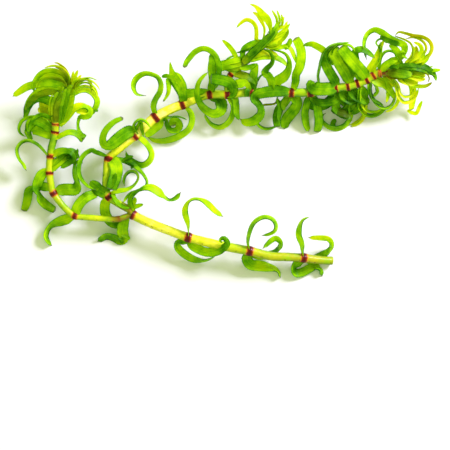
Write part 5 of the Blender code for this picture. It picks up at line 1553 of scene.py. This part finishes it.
def sheathLeaves(sheath, line):
    # erect young leaves packed round the tip, in turn about its axis from old to young
    last = len(line) - 1
    made = []
    for index in range(sheath["count"]):
        share = valueAt(sheath["starts"], index / (sheath["count"] - 1))
        swing = chance.uniform(*sheathShape["turnSwing"])
        around = math.radians(index * sheathShape["turn"] + swing)
        length = valueAt(sheath["lengths"], share) * chance.uniform(*sheathShape["lengthSwing"])
        flare = valueAt(sheath["flares"], share) * chance.uniform(*sheathShape["flareSwing"])
        route = []
        for point in range(sheathShape["points"]):
            part = point / (sheathShape["points"] - 1)
            spot = share * last + part * length / stemShape["spacing"]
            centre, radius, tangent = line[min(int(spot), last)]
            beyond = max(0.0, spot - last) * stemShape["spacing"] * step
            level = levelSide(tangent)
            out = level.cross(tangent) * math.cos(around) + level * math.sin(around)
            away = radius * (1.0 if point else sheathShape["footDepth"])
            away += flare * step * part ** sheathShape["flareCurve"]
            across, down, up = onGrid(centre + tangent * beyond + out * away)
            route.append((across, down, max(up, 1)))
        turn = -math.degrees(around)
        tone = valueAt(sheath["tones"], share)
        made.append({"width": valueAt(sheath["widths"], share), "turns": (turn, turn),
                     "tone": (tone, tone + sheathShape["palerTip"]), "route": route,
                     "stain": (valueAt(sheath["stains"], share), 0.0)})
    return made


for node, crown in crowns.items():
    line = stemLine(crown)
    tip = stemTube(node + "_tuft", crown, line)
    young = crown["blades"] + sheathLeaves(crown["sheath"], line)
    blades = [layLeaf(f"{node}_young_{index}", leaf, youngBlade)
              for index, leaf in enumerate(young, 1)]
    selectOnly(tip, *blades)
    bpy.ops.object.join()
    finishPiece(tip, "crown", node)
print("crowns made", len(crowns))

for master in (shortLeaf, longLeaf):
    bpy.data.objects.remove(master)


# Floor, light and camera

studio = {
    "floorSize": 3.0,
    "floorColour": (0.735, 0.735, 0.67),
    "floorShade": 0.985,             # of the colour, where its faint clouds are darkest
    "cloudScale": 9.0,
    "floorRoughness": 0.7,
    "skyStrength": 0.92,
    "skyColour": (0.90, 1.0, 0.61),  # the shade is green, as if lit through the leaves
    "keyColour": (0.76, 0.68, 1.0),  # this and the sky's colour together make white
    "keyAim": (0.50, 0.44, 0.44),    # from the sprig to the soft box, in metres
    "keySize": 0.28,
    "keyPower": 15.0,
    "lens": 200,                     # millimetres
    "sensor": 36,
    "frameWidth": 0.1125,            # metres across the picture at the sprig's height
    "lookAt": (225, 225, 20),
}


def makeFloor():
    bpy.ops.object.select_all(action="DESELECT")
    bpy.ops.mesh.primitive_plane_add(size=studio["floorSize"], location=(0, 0, 0))
    floor = bpy.context.object
    floor.name = "floor"
    made, tree = newMaterial("paleFloor")
    cloud = put(tree, "TexNoise", {"Vector": objectPlace(tree), "Scale": studio["cloudScale"],
                                   "Detail": 2.0}).outputs["Fac"]
    pale = studio["floorColour"]
    shade = tuple(part * studio["floorShade"] for part in pale)
    matt = put(tree, "BsdfPrincipled", {"Base Color": blendColour(tree, cloud, shade, pale),
                                        "Roughness": studio["floorRoughness"]})
    put(tree, "OutputMaterial", {"Surface": matt.outputs[0]})
    floor.data.materials.append(made)


def makeLight():
    world = bpy.data.worlds.new("studio")
    bpy.context.scene.world = world
    world.use_nodes = True
    sky = world.node_tree.nodes["Background"]
    sky.inputs["Color"].default_value = (*studio["skyColour"], 1)
    sky.inputs["Strength"].default_value = studio["skyStrength"]
    aim = Vector(studio["keyAim"])
    bpy.ops.object.light_add(type="AREA", location=place(*studio["lookAt"]) + aim)
    key = bpy.context.object
    key.name = "softBox"
    key.data.shape = "DISK"
    key.data.size = studio["keySize"]
    key.data.energy = studio["keyPower"]
    key.data.color = studio["keyColour"]
    key.rotation_euler = aim.to_track_quat("Z", "Y").to_euler()


def makeCamera():
    away = studio["frameWidth"] * studio["lens"] / studio["sensor"]
    bpy.ops.object.camera_add(location=place(*studio["lookAt"]) + Vector((0, 0, away)))
    camera = bpy.context.object
    camera.data.lens = studio["lens"]
    camera.data.clip_start = 0.01
    bpy.context.scene.camera = camera


makeFloor()
makeLight()
makeCamera()
bpy.context.scene.view_settings.view_transform = "Standard"
print("studio made")
